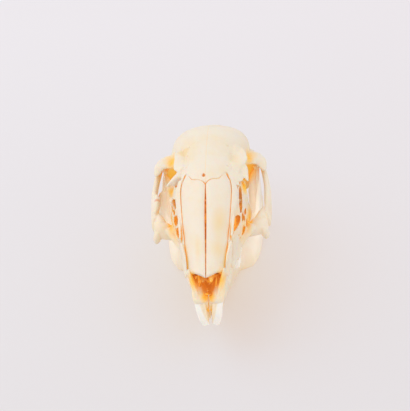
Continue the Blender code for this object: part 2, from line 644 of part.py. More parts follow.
PAIRED = (nasal, premaxilla, upper_incisor, maxilla, upper_cheek_teeth, lower_cheek_teeth, jugal, frontal,
          parietal, temporal, bulla, mandible, lower_incisor)
for make in PAIRED:
    mirrored(make())
occipital()
skull_base()
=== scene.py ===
"""The looks of a life-size rabbit's skull with its lower jaw, lying on a pale table.

Each bone is laid out as closed forms whose points come from formulas, joined into one skin by a fine voxel
remesh, relaxed, and then given its pores, seams and windows. Sizes are millimetres on the skull's own frame:
x to the animal's left, y back from the front of the incisors, z up from the table. mesh_from() turns them
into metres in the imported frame.
"""
import math

import bmesh
import bpy
import numpy as np
from bpy.props import FloatProperty, FloatVectorProperty
from mathutils import Matrix, Vector


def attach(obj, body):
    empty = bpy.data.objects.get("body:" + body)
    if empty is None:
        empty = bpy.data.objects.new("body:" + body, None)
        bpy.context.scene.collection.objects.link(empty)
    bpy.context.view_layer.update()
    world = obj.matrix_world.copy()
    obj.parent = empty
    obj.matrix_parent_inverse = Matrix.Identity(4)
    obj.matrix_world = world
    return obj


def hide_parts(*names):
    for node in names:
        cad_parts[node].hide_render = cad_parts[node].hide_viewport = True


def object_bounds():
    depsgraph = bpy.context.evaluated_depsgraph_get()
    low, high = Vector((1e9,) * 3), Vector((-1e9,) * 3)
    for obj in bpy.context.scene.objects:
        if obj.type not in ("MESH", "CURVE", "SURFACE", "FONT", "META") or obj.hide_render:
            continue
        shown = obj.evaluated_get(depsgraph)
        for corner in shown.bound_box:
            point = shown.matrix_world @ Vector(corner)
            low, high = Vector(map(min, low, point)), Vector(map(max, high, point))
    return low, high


bl_info = {
    "name": "Rabbit skull",
    "version": (1, 0, 0),
    "blender": (4, 5, 0),
    "location": "3D View > Sidebar > Skull",
    "description": "Builds the bones, teeth, table and light of a rabbit's skull",
    "category": "Object",
}

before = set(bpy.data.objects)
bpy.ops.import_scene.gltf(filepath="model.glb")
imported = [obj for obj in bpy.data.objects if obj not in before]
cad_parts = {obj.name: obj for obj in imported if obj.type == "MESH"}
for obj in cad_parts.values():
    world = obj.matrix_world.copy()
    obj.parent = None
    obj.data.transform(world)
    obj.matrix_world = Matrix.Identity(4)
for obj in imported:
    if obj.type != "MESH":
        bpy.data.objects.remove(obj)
CAD_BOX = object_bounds()

MM = 0.001
LENGTH = 82.0               # from the front of the snout to the nape
Y_MIDDLE = LENGTH / 2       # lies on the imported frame's origin
BITE_Z = 15.4               # where the cheek teeth meet
MOUTH_ROOF_Z = BITE_Z + 4.0 # where the upper cheek teeth leave the bone
PREMAXILLA_END = 17.9       # y of the front and the rear edge of the seam across the snout
MAXILLA_START = 18.15
SNOUT_CLEAR = 0.17          # half the gap along the midline between the snout's bones
JAW_CLEAR = 0.16            # the same for the lower jaw
SIDES = {1: "left", -1: "right"}        # the sign of x, and the word in a piece's name


# Curves and closed forms

def curve(*keys):
    """A smooth curve through (place, value) keys: a cubic between keys whose slope at a key is the harmonic
    mean of the slopes beside it, so that it never overshoots. It returns the function that reads it."""
    at, value = np.array(keys, float).T
    steps = np.diff(value) / np.diff(at)
    slopes = np.concatenate([steps[:1], np.zeros(len(steps) - 1), steps[-1:]])
    same_way = steps[:-1] * steps[1:] > 0
    both = np.where(same_way, steps[:-1] + steps[1:], 1.0)
    slopes[1:-1] = np.where(same_way, 2 * steps[:-1] * steps[1:] / both, 0.0)

    def reading(place):
        place = np.clip(place, at[0], at[-1])
        i = np.clip(np.searchsorted(at, place) - 1, 0, len(at) - 2)
        span = at[i + 1] - at[i]
        t = (place - at[i]) / span
        rise = (3 - 2 * t) * t * t
        bend = span * t * (1 - t)
        return (value[i] * (1 - rise) + value[i + 1] * rise
                + bend * ((1 - t) * slopes[i] - t * slopes[i + 1]))

    return reading


def level(number):
    """A curve that is the same number everywhere."""
    return lambda place: np.zeros_like(np.asarray(place, float)) + number


def grid_faces(rows, columns):
    """Quads of a grid of rows, each a closed ring of columns."""
    r, c = np.meshgrid(np.arange(rows - 1), np.arange(columns), indexing="ij")
    d = (c + 1) % columns
    return np.stack([r * columns + c, r * columns + d, (r + 1) * columns + d, (r + 1) * columns + c],
                    -1).reshape(-1, 4)


def closed_rings(rings):
    """(points, quads) of a closed form through rings: each end ring is drawn to a pole at its middle."""
    rings = np.asarray(rings, float)
    around = rings.shape[1]
    first = np.repeat(rings[:1].mean(1, keepdims=True), around, 1)
    last = np.repeat(rings[-1:].mean(1, keepdims=True), around, 1)
    rings = np.concatenate([first, rings, last])
    return rings.reshape(-1, 3), grid_faces(len(rings), around)


def oval(around, power=2.0):
    """(across, up) of a ring: cosine and sine, each raised to 2 / power. Above 2 it grows squarer."""
    angle = np.arange(around) * 2 * math.pi / around
    across, up = np.cos(angle), np.sin(angle)
    return (np.sign(across) * np.abs(across) ** (2 / power), np.sign(up) * np.abs(up) ** (2 / power))


def end_rounding(y, first, last, length):
    """From near 0 at either end to 1 a given length in, as a quarter of an ellipse."""
    if length == 0:
        return np.ones_like(y)
    inward = np.clip(np.minimum(y - first, last - y) / length, 0.0, 1.0)
    return np.sqrt(np.maximum(1 - (1 - inward) ** 2, 0.0025))


def spread(first, last, count):
    """Stations that lie closer together towards both ends."""
    even = np.linspace(0, 1, count)
    eased = 0.5 - 0.5 * np.cos(math.pi * even)
    return first + (last - first) * (0.4 * even + 0.6 * eased)


def along_y(first, last, centre_x, centre_z, half_x, half_z, tilt=0.0, power=2.0, stations=60, around=40,
            rounding=2.0):
    """A form whose upright oval sections follow curves of y; tilt leans each section, in degrees."""
    y = spread(first, last, stations)
    shrink = end_rounding(y, first, last, rounding)
    across, up = oval(around, power)
    wide = np.outer(half_x(y) * shrink, across)
    high = np.outer(half_z(y) * shrink, up)
    lean = np.radians(tilt(y) if callable(tilt) else np.full_like(y, tilt))[:, None]
    x = centre_x(y)[:, None] + wide * np.cos(lean) + high * np.sin(lean)
    z = centre_z(y)[:, None] - wide * np.sin(lean) + high * np.cos(lean)
    return closed_rings(np.stack([x, np.repeat(y[:, None], around, 1), z], -1))


def limb(points, wide, thick, up=(0, 0, 1), power=2.0, stations=48, around=28, rounding=0.18):
    """A form along a smooth path through points; wide and thick are its half sizes at those points, and up
    tells which way thick is measured from the path."""
    points = np.array(points, float)
    key = np.concatenate([[0], np.cumsum(np.linalg.norm(np.diff(points, axis=0), axis=1))])
    key /= key[-1]
    t = spread(0, 1, stations)
    centre = np.stack([curve(*zip(key, points[:, i]))(t) for i in range(3)], 1)
    ahead = np.gradient(centre, t, axis=0)
    ahead /= np.linalg.norm(ahead, axis=1)[:, None]
    across = np.cross(ahead, np.array(up, float))
    across /= np.linalg.norm(across, axis=1)[:, None]
    over = np.cross(across, ahead)
    shrink = end_rounding(t, 0, 1, rounding)
    ring_a, ring_b = oval(around, power)
    half_wide = (curve(*zip(key, wide))(t) * shrink)[:, None] * ring_a
    half_thick = (curve(*zip(key, thick))(t) * shrink)[:, None] * ring_b
    return closed_rings(centre[:, None] + across[:, None] * half_wide[..., None]
                        + over[:, None] * half_thick[..., None])


def egg(centre, half, turn=(0, 0, 0), rows=28, columns=40):
    """A sphere of latitude rings stretched to its half sizes, then turned about x, y and z, in degrees."""
    low = np.linspace(-math.pi / 2, math.pi / 2, rows + 2)[1:-1][:, None]
    turned = np.arange(columns) * 2 * math.pi / columns
    rings = np.stack([np.cos(low) * np.cos(turned) * half[0], np.cos(low) * np.sin(turned) * half[1],
                      np.repeat(np.sin(low), columns, 1) * half[2]], -1)
    spin = Matrix.Rotation(math.radians(turn[2]), 3, "Z") @ Matrix.Rotation(math.radians(turn[1]), 3, "Y")
    spin = np.array(spin @ Matrix.Rotation(math.radians(turn[0]), 3, "X"))
    return closed_rings(rings @ spin.T + centre)


def slab(inner, outer, front, rear, top, thick, stations=120, around=44):
    """A bowed plate with rounded edges. s runs from its front edge to its rear edge and an angle runs round
    its section: x goes from inner to outer with the cosine, y from front(x) to rear(x) with s, and z is
    top(x, y) less half the thickness, plus half the thickness with the sine."""
    s = np.linspace(0, 1, stations)[:, None]
    share_x, share_z = oval(around, 3.4)
    middle = front(4.0) + s * (rear(4.0) - front(4.0))
    half = (outer(middle) - inner(middle)) / 2
    x = inner(middle) + half * (1 + share_x)
    y = front(x) + s * (rear(x) - front(x))
    half = (outer(y) - inner(y)) / 2
    x = inner(y) + half * (1 + share_x)
    body = thick(y) / 2 * end_rounding(s, 0, 1, 0.008)
    z = top(x, y) - thick(y) / 2 + body * share_z
    return closed_rings(np.stack([x, y, z], -1))


def flipped(form):
    """The mirror image of a form about the midline, still facing outwards."""
    points, faces = form
    return points * (-1, 1, 1), faces[:, ::-1]


def both(*forms):
    """Forms of one side together with their mirror images."""
    return [*forms, *[flipped(form) for form in forms]]


# Mesh making

def mesh_from(name, points, faces):
    """A mesh object from millimetre points and quads or triangles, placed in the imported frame."""
    mesh = bpy.data.meshes.new(name)
    faces = np.asarray(faces, np.int32)
    mesh.vertices.add(len(points))
    mesh.vertices.foreach_set("co", (((points - (0, Y_MIDDLE, 0)) * MM).astype(np.float32)).ravel())
    corners = faces.shape[1]
    mesh.loops.add(faces.size)
    mesh.loops.foreach_set("vertex_index", faces.ravel())
    mesh.polygons.add(len(faces))
    mesh.polygons.foreach_set("loop_start", np.arange(len(faces), dtype=np.int32) * corners)
    mesh.update(calc_edges=True)
    mesh.validate()
    obj = bpy.data.objects.new(name, mesh)
    bpy.context.scene.collection.objects.link(obj)
    return obj


def stacked(forms):
    """Several forms as one list of points and one of quads."""
    points, faces, start = [], [], 0
    for form_points, form_faces in forms:
        points.append(form_points)
        faces.append(form_faces + start)
        start += len(form_points)
    return np.concatenate(points), np.concatenate(faces)


def evaluated(obj):
    """The mesh of an object with its modifiers, in place of its own."""
    graph = bpy.context.evaluated_depsgraph_get()
    mesh = bpy.data.meshes.new_from_object(obj.evaluated_get(graph))
    obj.modifiers.clear()
    old = obj.data
    obj.data = mesh
    bpy.data.meshes.remove(old)


def read_rows(items, key, width, kind=np.float32):
    """One property of all of a mesh's items, as rows of numbers."""
    flat = np.empty(len(items) * width, kind)
    items.foreach_get(key, flat)
    return flat.reshape(-1, width)


def read_points(mesh):
    """The points of a mesh in millimetres on the skull's frame."""
    return read_rows(mesh.vertices, "co", 3).astype(float) / MM + (0, Y_MIDDLE, 0)


def write_points(mesh, points):
    """Puts millimetre points back into a mesh."""
    mesh.vertices.foreach_set("co", ((points - (0, Y_MIDDLE, 0)) * MM).astype(np.float32).ravel())
    mesh.update()


def edge_list(mesh):
    """The two points of each edge of a mesh."""
    return read_rows(mesh.edges, "vertices", 2, np.int32)


def neighbour_mean(values, edges, count):
    """Mean over each point's neighbours along the edges."""
    total = np.stack([np.bincount(edges[:, 0], values[edges[:, 1], i], count)
                      + np.bincount(edges[:, 1], values[edges[:, 0], i], count)
                      for i in range(values.shape[1])], 1)
    number = np.bincount(edges[:, 0], minlength=count) + np.bincount(edges[:, 1], minlength=count)
    return total / np.maximum(number, 1)[:, None]


def relaxed(points, edges, rounds, pull=0.5, push=-0.52):
    """Smooths points without shrinking them much: each round pulls towards the neighbours' mean, then pushes
    back by a little more."""
    for _ in range(rounds):
        for step in (pull, push):
            points = points + step * (neighbour_mean(points, edges, len(points)) - points)
    return points


def in_relief(mesh, relief):
    """The points of a mesh in millimetres, moved along their normals by relief(points), a height in mm."""
    points = read_points(mesh)
    normals = read_rows(mesh.vertex_normals, "vector", 3).astype(float)
    return points + normals * relief(points)[:, None]


def hashed(cell, seed):
    """A repeatable number from 0 to 1 for each whole-number cell."""
    mixed = (cell[..., 0] * 73856093) ^ (cell[..., 1] * 19349663) ^ (cell[..., 2] * 83492791)
    mixed = mixed ^ (seed * 2654435)
    mixed = (mixed ^ (mixed >> 13)) * 1274126177
    mixed = mixed ^ (mixed >> 16)
    return (mixed & 0xFFFF) / 65535.0


def value_noise(points, size, seed):
    """Smooth noise from -1 to 1: random numbers on a grid of the given size, blended between its corners."""
    place = points / size
    cell = np.floor(place).astype(np.int64)
    t = place - cell
    t = t * t * (3 - 2 * t)
    total = np.zeros(len(points))
    for corner in range(8):
        step = np.array([(corner >> i) & 1 for i in range(3)])
        weight = np.prod(np.where(step, t, 1 - t), axis=1)
        total += weight * hashed(cell + step, seed)
    return total * 2 - 1


def rough(points, size, seed, octaves=3):
    """Value noise summed over halving sizes."""
    total, weight = np.zeros(len(points)), 1.0
    for octave in range(octaves):
        total += weight * value_noise(points, size / 2 ** octave, seed + octave)
        weight *= 0.5
    return total


def bump(distance, width):
    """1 at distance 0, falling like a bell curve."""
    return np.exp(-(distance / width) ** 2)


def coarseness():
    return 1.0


def skin(name, forms, voxel, rounds=3, relief=None, wall=None):
    """One skin over overlapping forms: a voxel remesh, relaxing, and then relief as in in_relief(). wall is
    an object that is joined to the forms first."""
    obj = mesh_from(name, *stacked(forms))
    if wall is not None:
        join(obj, wall)
    remesh = obj.modifiers.new("skin", "REMESH")
    remesh.mode = "VOXEL"
    remesh.voxel_size = voxel * MM * coarseness()
    evaluated(obj)
    mesh = obj.data
    write_points(mesh, relaxed(read_points(mesh), edge_list(mesh), rounds))
    if relief is not None:
        write_points(mesh, in_relief(mesh, relief))
    return obj


def join(obj, other):
    """Adds another object's mesh to obj's own."""
    bm = bmesh.new()
    bm.from_mesh(obj.data)
    bm.from_mesh(other.data)
    bpy.data.objects.remove(other)
    bm.to_mesh(obj.data)
    bm.free()


# The skull's own lines

# Each is a curve of y. ROOF is the midline's height, and ROOF_DROP how far the face falls to the nose bones'
# outer edges. STRIP_ is the thin strip beside a nose bone, WALL_ the windowed side of the snout.
ROOF = curve((2, 32.0), (3.4, 33.0), (12, 36.4), (24, 41.2), (37, 45.2), (47, 46.6), (56, 46.2), (63, 45.0),
             (69, 43.1), (75, 39.5), (79, 35.8), (LENGTH, 32.0))
NASAL_WIDTH = curve((2, 5.6), (8, 6.3), (16, 6.9), (26, 7.9), (36, 8.5), (43, 7.6))
ROOF_DROP = curve((2, 2.6), (20, 2.6), (34, 2.4), (44, 2.0))
STRIP_WIDE = curve((6, 0.7), (14, 1.2), (24, 1.1), (31, 1.6), (36, 1.9), (41, 1.4))
STRIP_THICK = curve((6, 1.6), (18, 2.6), (41, 1.4))
BRAIN_FLOOR = curve((48, 35.0), (54, 29.5), (60, 25.6), (66, 24.4), (76, 24.0), (LENGTH, 26.0))
BRAIN_WIDTH = curve((48, 3.0), (52, 6.2), (57, 10.8), (62, 13.4), (66, 14.1), (71, 13.6), (76, 11.8),
                    (80, 9.0), (LENGTH, 7.4))
# A curve of x: where the nose bones end.
NOSE_END = curve((0, 36.6), (2.6, 38.3), (4.3, 38.6), (5.9, 40.6), (6.9, 42.3), (7.8, 40.4), (8.8, 38.6))
WALL_X = curve((18, 7.4), (26, 9.0), (34, 11.0), (43, 12.2))
WALL_Z = curve((18, 29.4), (30, 31.0), (43, 33.4))
WALL_HALF = curve((18, 8.3), (30, 7.8), (43, 6.4))
WALL_TILT = curve((18, 9), (26, -4), (34, -14), (43, -8))


def face_top(x, y):
    """Height of the upper face. It falls from the midline by the square of the share of the nose's width."""
    return ROOF(y) - ROOF_DROP(y) * (x / NASAL_WIDTH(y)) ** 2


def wobble(place, size, seed):
    """A wavering line: value noise read along one coordinate."""
    place = np.asarray(place, float)
    flat = np.stack([place.ravel(), np.full(place.size, seed * 7.3), np.full(place.size, 0.5)], 1)
    return value_noise(flat, size, seed).reshape(place.shape)


def nose_end(x):
    """Where the nose bones end: a shallow W, whose outer arms rise to a peak and fall back to the edge."""
    return NOSE_END(np.abs(x)) + 0.22 * wobble(x, 1.3, 3)


def hold_inside(obj, low, high):
    """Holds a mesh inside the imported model's box, in metres."""
    points = read_rows(obj.data.vertices, "co", 3)
    points = np.clip(points, np.array(low, np.float32), np.array(high, np.float32))
    obj.data.vertices.foreach_set("co", points.ravel())
    obj.data.update()


def keep_largest_part(obj):
    """Drops all but the largest joined part of a mesh. Labels fall to the least label among neighbours until
    they settle, one label for each part."""
    mesh = obj.data
    edges = edge_list(mesh)
    label = np.arange(len(mesh.vertices))
    while True:
        least = np.minimum(label[edges[:, 0]], label[edges[:, 1]])
        new = label.copy()
        np.minimum.at(new, edges[:, 0], least)
        np.minimum.at(new, edges[:, 1], least)
        np.minimum.at(new, label[edges[:, 0]], least)
        np.minimum.at(new, label[edges[:, 1]], least)
        new = new[new]
        if np.array_equal(new, label):
            break
        label = new
    keep = np.bincount(label).argmax()
    bm = bmesh.new()
    bm.from_mesh(mesh)
    bmesh.ops.delete(bm, geom=[v for v, part in zip(bm.verts, label) if part != keep], context="VERTS")
    bm.to_mesh(mesh)
    bm.free()


def finish(obj, material, slot, *nodes):
    """Gives a piece its material and hides the imported parts that it stands for."""
    hold_inside(obj, *CAD_BOX)
    obj.data.shade_smooth()
    obj.data.materials.clear()
    obj.data.materials.append(material)
    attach(obj, "root")
    if nodes:
        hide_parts(*nodes)


# Braincase

def middle_forms():
    """Closed forms on the midline: braincase, brow, wall between the eyes, skull base and nape."""
    case = along_y(47.6, LENGTH - 1.0, level(0.0), lambda y: (ROOF(y) + BRAIN_FLOOR(y)) / 2, BRAIN_WIDTH,
                   lambda y: (ROOF(y) - BRAIN_FLOOR(y)) / 2, power=2.15, stations=120, around=110,
                   rounding=2.2)
    edge = curve((36, 8.6), (41, 8.7), (48, 8.9), (54, 9.2), (58, 10.2))
    roof = slab(lambda y: -edge(y), edge, lambda x: nose_end(x) + 0.06, level(60.0),
                lambda x, y: ROOF(y) - 0.028 * x ** 2, curve((36, 2.2), (46, 3.2), (60, 4.6)), around=120)
    keel = along_y(39.5, 54.0, level(0.0), curve((40, 40.6), (54, 38.0)), curve((40, 3.0), (54, 4.4)),
                   curve((40, 3.6), (54, 6.0)))
    septum = along_y(40.5, 53.0, level(0.0), level(33.2), level(0.65), level(7.6), power=3.5, rounding=0.8)
    bar = along_y(50.0, 76.0, level(0.0), curve((50, 26.0), (60, 25.0), (76, 24.9)),
                  curve((50, 1.5), (60, 2.8), (76, 3.6)), level(1.9), rounding=1.0)
    foot = limb([(0, 44.0, 26.5), (0, 48.5, 26.2), (0, 53.5, 26.0)], [1.0, 1.2, 1.5], [1.1, 1.3, 1.6],
                rounding=0.15)
    bridge = limb([(-5.0, 52.5, 25.2), (0, 52.5, 26.2), (5.0, 52.5, 25.2)], [2.2, 2.4, 2.2], [0.8, 1.0, 0.8],
                  rounding=0.1)
    shield = along_y(70.0, LENGTH, level(0.0), curve((70, 37.0), (76, 35.0), (82, 33.0)),
                     curve((70, 4.6), (78, 5.2), (82, 3.6)), curve((70, 1.6), (76, 2.4), (82, 1.6)),
                     power=3.0, rounding=1.6)
    basal = along_y(72.0, 80.0, level(0.0), level(25.4), level(3.4), level(2.0), rounding=1.2)
    return [case, roof, keel, septum, bar, foot, bridge, shield, basal]


def one_sided_forms():
    """Spurs, rims and thin plates of the eye sockets that differ from side to side."""
    left_spur = limb([(8.6, 46.8, 43.3), (11.6, 46.8, 42.5), (13.1, 44.4, 41.4), (14.0, 41.8, 40.2)],
                     [2.6, 2.3, 1.2, 0.4], [0.9, 0.6, 0.5, 0.4], rounding=0.08)
    right_spur = limb([(-9.0, 45.6, 43.0), (-11.0, 44.2, 41.9), (-12.7, 42.9, 40.7), (-14.2, 41.6, 39.6)],
                      [1.4, 0.9, 0.65, 0.45], [0.8, 0.6, 0.5, 0.4], rounding=0.08)
    left_rim = limb([(8.0, 42.7, 43.3), (10.4, 42.5, 42.2), (12.4, 42.2, 41.0)], [2.8, 2.6, 1.5], [0.5] * 3,
                    rounding=0.08)
    left_gusset = limb([(8.4, 39.8, 42.6), (9.8, 39.8, 41.8), (11.0, 40.2, 40.8)], [1.6, 1.5, 1.0],
                       [0.45] * 3, rounding=0.08)
    left_lacrimal = limb([(9.3, 43.9, 40.3), (11.2, 43.7, 38.2), (12.3, 43.4, 35.6)], [1.5, 1.3, 0.9],
                         [0.5, 0.5, 0.5], up=(0, 1, 0), rounding=0.1)
    right_lacrimal = limb([(-8.8, 43.3, 42.6), (-10.8, 42.8, 40.2), (-12.2, 42.5, 37.8), (-12.7, 42.6, 34.0)],
                          [1.5, 2.0, 1.9, 1.1], [0.5] * 4, up=(0, 1, 0), rounding=0.08)
    left_web = limb([(8.6, 57.6, 31.2), (11.6, 58.6, 31.0), (14.1, 59.8, 30.8), (15.7, 61.2, 30.6)],
                    [0.9, 0.6, 0.5, 0.5], [6.0, 5.4, 4.6, 3.6], rounding=0.06)
    right_web = limb([(-8.0, 57.2, 31.0), (-12.2, 57.6, 30.8), (-15.4, 59.0, 32.0)], [0.9, 0.6, 0.5],
                     [6.2, 5.4, 3.4], rounding=0.06)
    left_temple = egg((9.2, 56.4, 39.2), (3.7, 6.8, 4.2), turn=(-8, 0, 0))
    return [left_spur, right_spur, left_rim, left_gusset, left_lacrimal, right_lacrimal, left_web, right_web,
            left_temple]


def paired_forms():
    """Closed forms of the left side that the right side mirrors, from the brow back to the ear."""
    brow = limb([(7.9, 46.5, 43.4), (10.2, 48.4, 43.1), (11.5, 51.2, 42.9), (11.4, 54.6, 42.6),
                 (10.3, 58.0, 42.0)],
                [2.4, 2.8, 2.4, 2.0, 1.1], [1.2, 0.75, 0.55, 0.5, 0.45], rounding=0.06)
    cheek_arm = limb([(10.4, 61.2, 34.6), (14.8, 61.0, 34.8), (17.8, 59.4, 34.2), (19.1, 55.4, 33.1)],
                     [4.0, 3.6, 2.3, 0.9], [1.2, 0.85, 0.8, 0.55], rounding=0.1)
    shoulder = egg((10.9, 60.0, 35.4), (2.6, 4.2, 2.4), turn=(0, 12, 12))
    orbit_wall = limb([(13.0, 42.9, 35.0), (8.0, 45.4, 35.4), (3.0, 48.6, 35.0), (0.6, 51.5, 34.0)],
                      [0.5, 0.45, 0.5, 0.7], [4.6, 5.6, 6.4, 6.4], rounding=0.04)
    wing = limb([(5.2, 46.4, 22.0), (4.6, 50.0, 21.8), (4.0, 55.0, 22.4), (3.4, 59.0, 24.2)],
                [0.6, 0.5, 0.6, 1.0], [2.5, 3.2, 3.4, 1.6], rounding=0.05)
    condyle = egg((3.9, 79.4, 27.2), (1.9, 2.4, 2.9), turn=(20, 0, 0))
    prong = limb([(9.2, 75.9, 28.5), (9.9, 76.3, 24.0), (9.9, 75.9, 19.5)], [1.5, 1.2, 0.6], [1.0, 0.9, 0.6],
                 up=(0, 1, 0), rounding=0.2)
    drum = egg((9.4, 67.6, 21.6), (4.3, 5.9, 5.9), turn=(0, 0, 14))
    tube = limb([(11.4, 68.6, 23.2), (13.0, 70.2, 26.8), (13.9, 71.4, 30.4)], [2.0, 1.6, 1.5],
                [2.2, 1.7, 1.6], up=(0, 1, 0), rounding=0.1)
    return [brow, cheek_arm, shoulder, orbit_wall, wing, condyle, prong, drum, tube]


def cranium_relief(points):
    """Height in mm: pores all over, seams as narrow grooves, and pits behind the brow and on the nape."""
    x, y, z = points.T
    upper = 1 / (1 + np.exp(-(z - 38.5) * 1.5))
    seam = 0.08 * bump(x + 0.12 * wobble(y, 0.9, 5), 0.16) * upper
    coronal = 57.6 + 1.1 * np.cos(x * 0.32) + 0.45 * wobble(x, 1.1, 9)
    seam += 0.14 * bump(y - coronal, 0.17) * upper
    nape_line = 73.2 - 0.02 * x ** 2 + 0.5 * wobble(x, 1.3, 11)
    seam += 0.16 * bump(y - nape_line, 0.2)
    temple = 37.0 + 0.5 * wobble(y, 1.6, 13)
    seam += 0.13 * bump(z - temple, 0.2) * (y > 55) * (y < 74) * (np.abs(x) > 9)
    vein_hole = 1.7 * bump(np.hypot(x + 0.6, y - 39.9), 0.42) * (z > 43)
    brow_holes = sum(0.5 * bump(np.hypot(np.abs(x) - hole_x, y - hole_y), 0.35) * (z > 40)
                     for hole_x, hole_y in ((7.6, 45.4), (8.3, 52.6), (7.2, 56.6)))
    nape = 0.16 * np.maximum(rough(points, 1.1, 31, 2), 0) * (y > 71)
    behind_brow = 0.1 * np.maximum(rough(points, 0.9, 41, 2), 0) * bump(y - 57.5, 4.0) * (np.abs(x) > 6)
    return -(seam + vein_hole + brow_holes + nape + behind_brow) - 0.05 * (1 + rough(points, 2.6, 17, 4))


def hollow_out(obj, *forms):
    """Takes closed forms away from a piece."""
    cutter = mesh_from("hollow", *stacked(forms))
    cut = obj.modifiers.new("hollow", "BOOLEAN")
    cut.object = cutter
    cut.solver = "MANIFOLD"
    evaluated(obj)
    bpy.data.objects.remove(cutter)


CRANIUM_NODES = [f"{name}_{word}" for name in ("frontal", "parietal", "temporal", "bulla")
                 for word in SIDES.values()] + ["occipital", "skull_base"]


def make_cranium(voxel):
    """Braincase, brow, orbits' inner walls, ear capsules and skull base in one skin, with the hole for the
    spine and the two ear holes."""
    spine_hole = egg((0, LENGTH, 29.6), (3.4, 6.0, 3.2))
    ear_hole = egg((14.6, 71.9, 31.2), (1.1, 1.4, 2.0))
    obj = skin("cranium", [*middle_forms(), *one_sided_forms(), *both(*paired_forms())], voxel, rounds=4)
    hollow_out(obj, spine_hole, *both(ear_hole))
    write_points(obj.data, narrowed_right(in_relief(obj.data, cranium_relief)))
    return obj


def narrowed_right(points):
    """Draws in the right brow and temple, which are a little narrower than the left: x shrinks by up to a
    sixth, in a bell curve of y, above the ear."""
    x, y, z = points.T
    share = (0.17 * bump(y - 51.0, 5.5) + 0.11 * bump(y - 64.0, 8.0)) / (1 + np.exp((36.0 - z) * 1.2))
    points[:, 0] = np.where(x < 0, x * (1 - share * np.clip(-x / 6.0, 0, 1)), x)
    return points


# Upper face

def nasal_form():
    """The left nose bone: a bowed slab whose front edge slants back from the midline with small teeth."""
    gap = curve((3, 0.16), (9, 0.2), (16, 0.26), (24, 0.36), (30, 0.3), (35, 0.1), (38, 0.04))

    def front(x):
        return 3.5 + 0.62 * np.abs(x) + 0.28 * np.abs(wobble(x, 0.55, 21)) + 0.9 * bump(np.abs(x) - 6.4, 0.9)

    def top(x, y):
        lip = 0.16 * bump(x - gap(y), 0.5) + 0.1 * bump(x - NASAL_WIDTH(y), 0.5)
        return face_top(x, y) - lip - 0.03

    return slab(gap, NASAL_WIDTH, front, lambda x: nose_end(x) - 0.03, top,
                curve((3, 0.8), (6, 1.0), (12, 1.5), (43, 2.1)), stations=300, around=90)


def nasal_relief(points):
    """Height in mm: long shallow ripples that follow the bone, and pores near its rear end."""
    along = points * (1.0, 0.12, 0.3)
    pores = np.maximum(rough(points, 0.8, 61, 2) - 0.3, 0) * (points[:, 1] > 30)
    return -0.05 * (1 + rough(along, 1.4, 51, 3)) - 0.08 * pores


def premaxilla_forms():
    """Closed forms of the left premaxilla: side wall, floor, tooth sheath and the strip beside the nose."""
    wall = along_y(2.2, PREMAXILLA_END, curve((2, 3.4), (7, 5.0), (18, 7.4)),
                   curve((2, 24.5), (8, 27.6), (18, 29.2)), curve((2, 0.9), (8, 0.9), (18, 1.0)),
                   curve((2, 3.2), (8, 6.2), (18, 8.1)), tilt=curve((2, 8), (18, 9)), power=2.4, rounding=1.6)
    floor = along_y(1.4, PREMAXILLA_END, curve((1, 2.4), (8, 3.1), (18, 4.6)),
                    curve((1, 23.4), (8, 22.0), (18, 21.6)), curve((1, 2.1), (8, 2.6), (18, 2.9)),
                    curve((1, 1.5), (8, 2.3), (18, 2.2)), rounding=2.0)
    side = along_y(10.0, PREMAXILLA_END, curve((10, 4.8), (18, 6.3)), level(22.6), level(2.0), level(2.0),
                   rounding=1.0)
    sheath = limb([(3.9, 9.4, 24.0), (3.6, 5.8, 24.0), (3.1, 3.5, 23.4), (3.0, 3.0, 21.7)],
                  [1.8, 2.0, 2.1, 1.95], [1.8, 2.0, 1.9, 1.5], up=(0, 1, -0.4), rounding=0.08)
    strip = slab(lambda y: NASAL_WIDTH(y) + 0.07, lambda y: NASAL_WIDTH(y) + 0.3 + STRIP_WIDE(y),
                 level(6.6), level(41.2), lambda x, y: face_top(x, y) - 0.04, STRIP_THICK, around=40)
    wedge = limb([(0.7, 5.0, 23.4), (0.75, 3.4, 21.0), (0.6, 3.2, 18.6), (0.45, 3.4, 17.0)],
                 [1.2, 1.0, 0.6, 0.35], [1.5, 1.2, 0.8, 0.5], up=(0, 1, 0), rounding=0.15)
    return [wall, floor, side, sheath, wedge, strip]


def nose_opening():
    """The hollow of the nose opening: a valley of pointed section over the floor and a pit behind its lip."""
    valley = along_y(-2.0, 17.0, level(0.0), curve((-2, 33.6), (17, 35.0)),
                     curve((-2, 5.6), (8, 5.2), (17, 5.2)), level(9.7), power=1.4, rounding=0.5)
    return [valley, egg((0, 8.6, 25.4), (2.3, 5.2, 4.9))]


def midline_cut(points, clear=SNOUT_CLEAR):
    """Flattens a left-hand piece against the middle plane."""
    points[:, 0] = np.maximum(points[:, 0], clear)
    return points


def below_nose_bone(points, first_y, depth, margin, reach):
    """Keeps points behind first_y, and no further out than margin past the nose bone's edge, at least depth
    below its top. Past reach from its edge its top counts as level."""
    x, y, z = points.T
    inside = (x < NASAL_WIDTH(y) + margin) & (y > first_y)
    ceiling = face_top(np.minimum(x, NASAL_WIDTH(y) + reach), y) - depth
    points[:, 2] = np.where(inside & (z > ceiling), ceiling, z)
    return points


def premaxilla_shape(points):
    """Flat at the midline and clear of the nose bone, with the strip beside it left standing."""
    return below_nose_bone(midline_cut(points), 7.5, 1.9, margin=0.05, reach=0.05)


def bone_relief(points):
    """Height in mm: soft unevenness with fine pores."""
    return -0.06 * (1 + rough(points, 2.2, 71, 4))


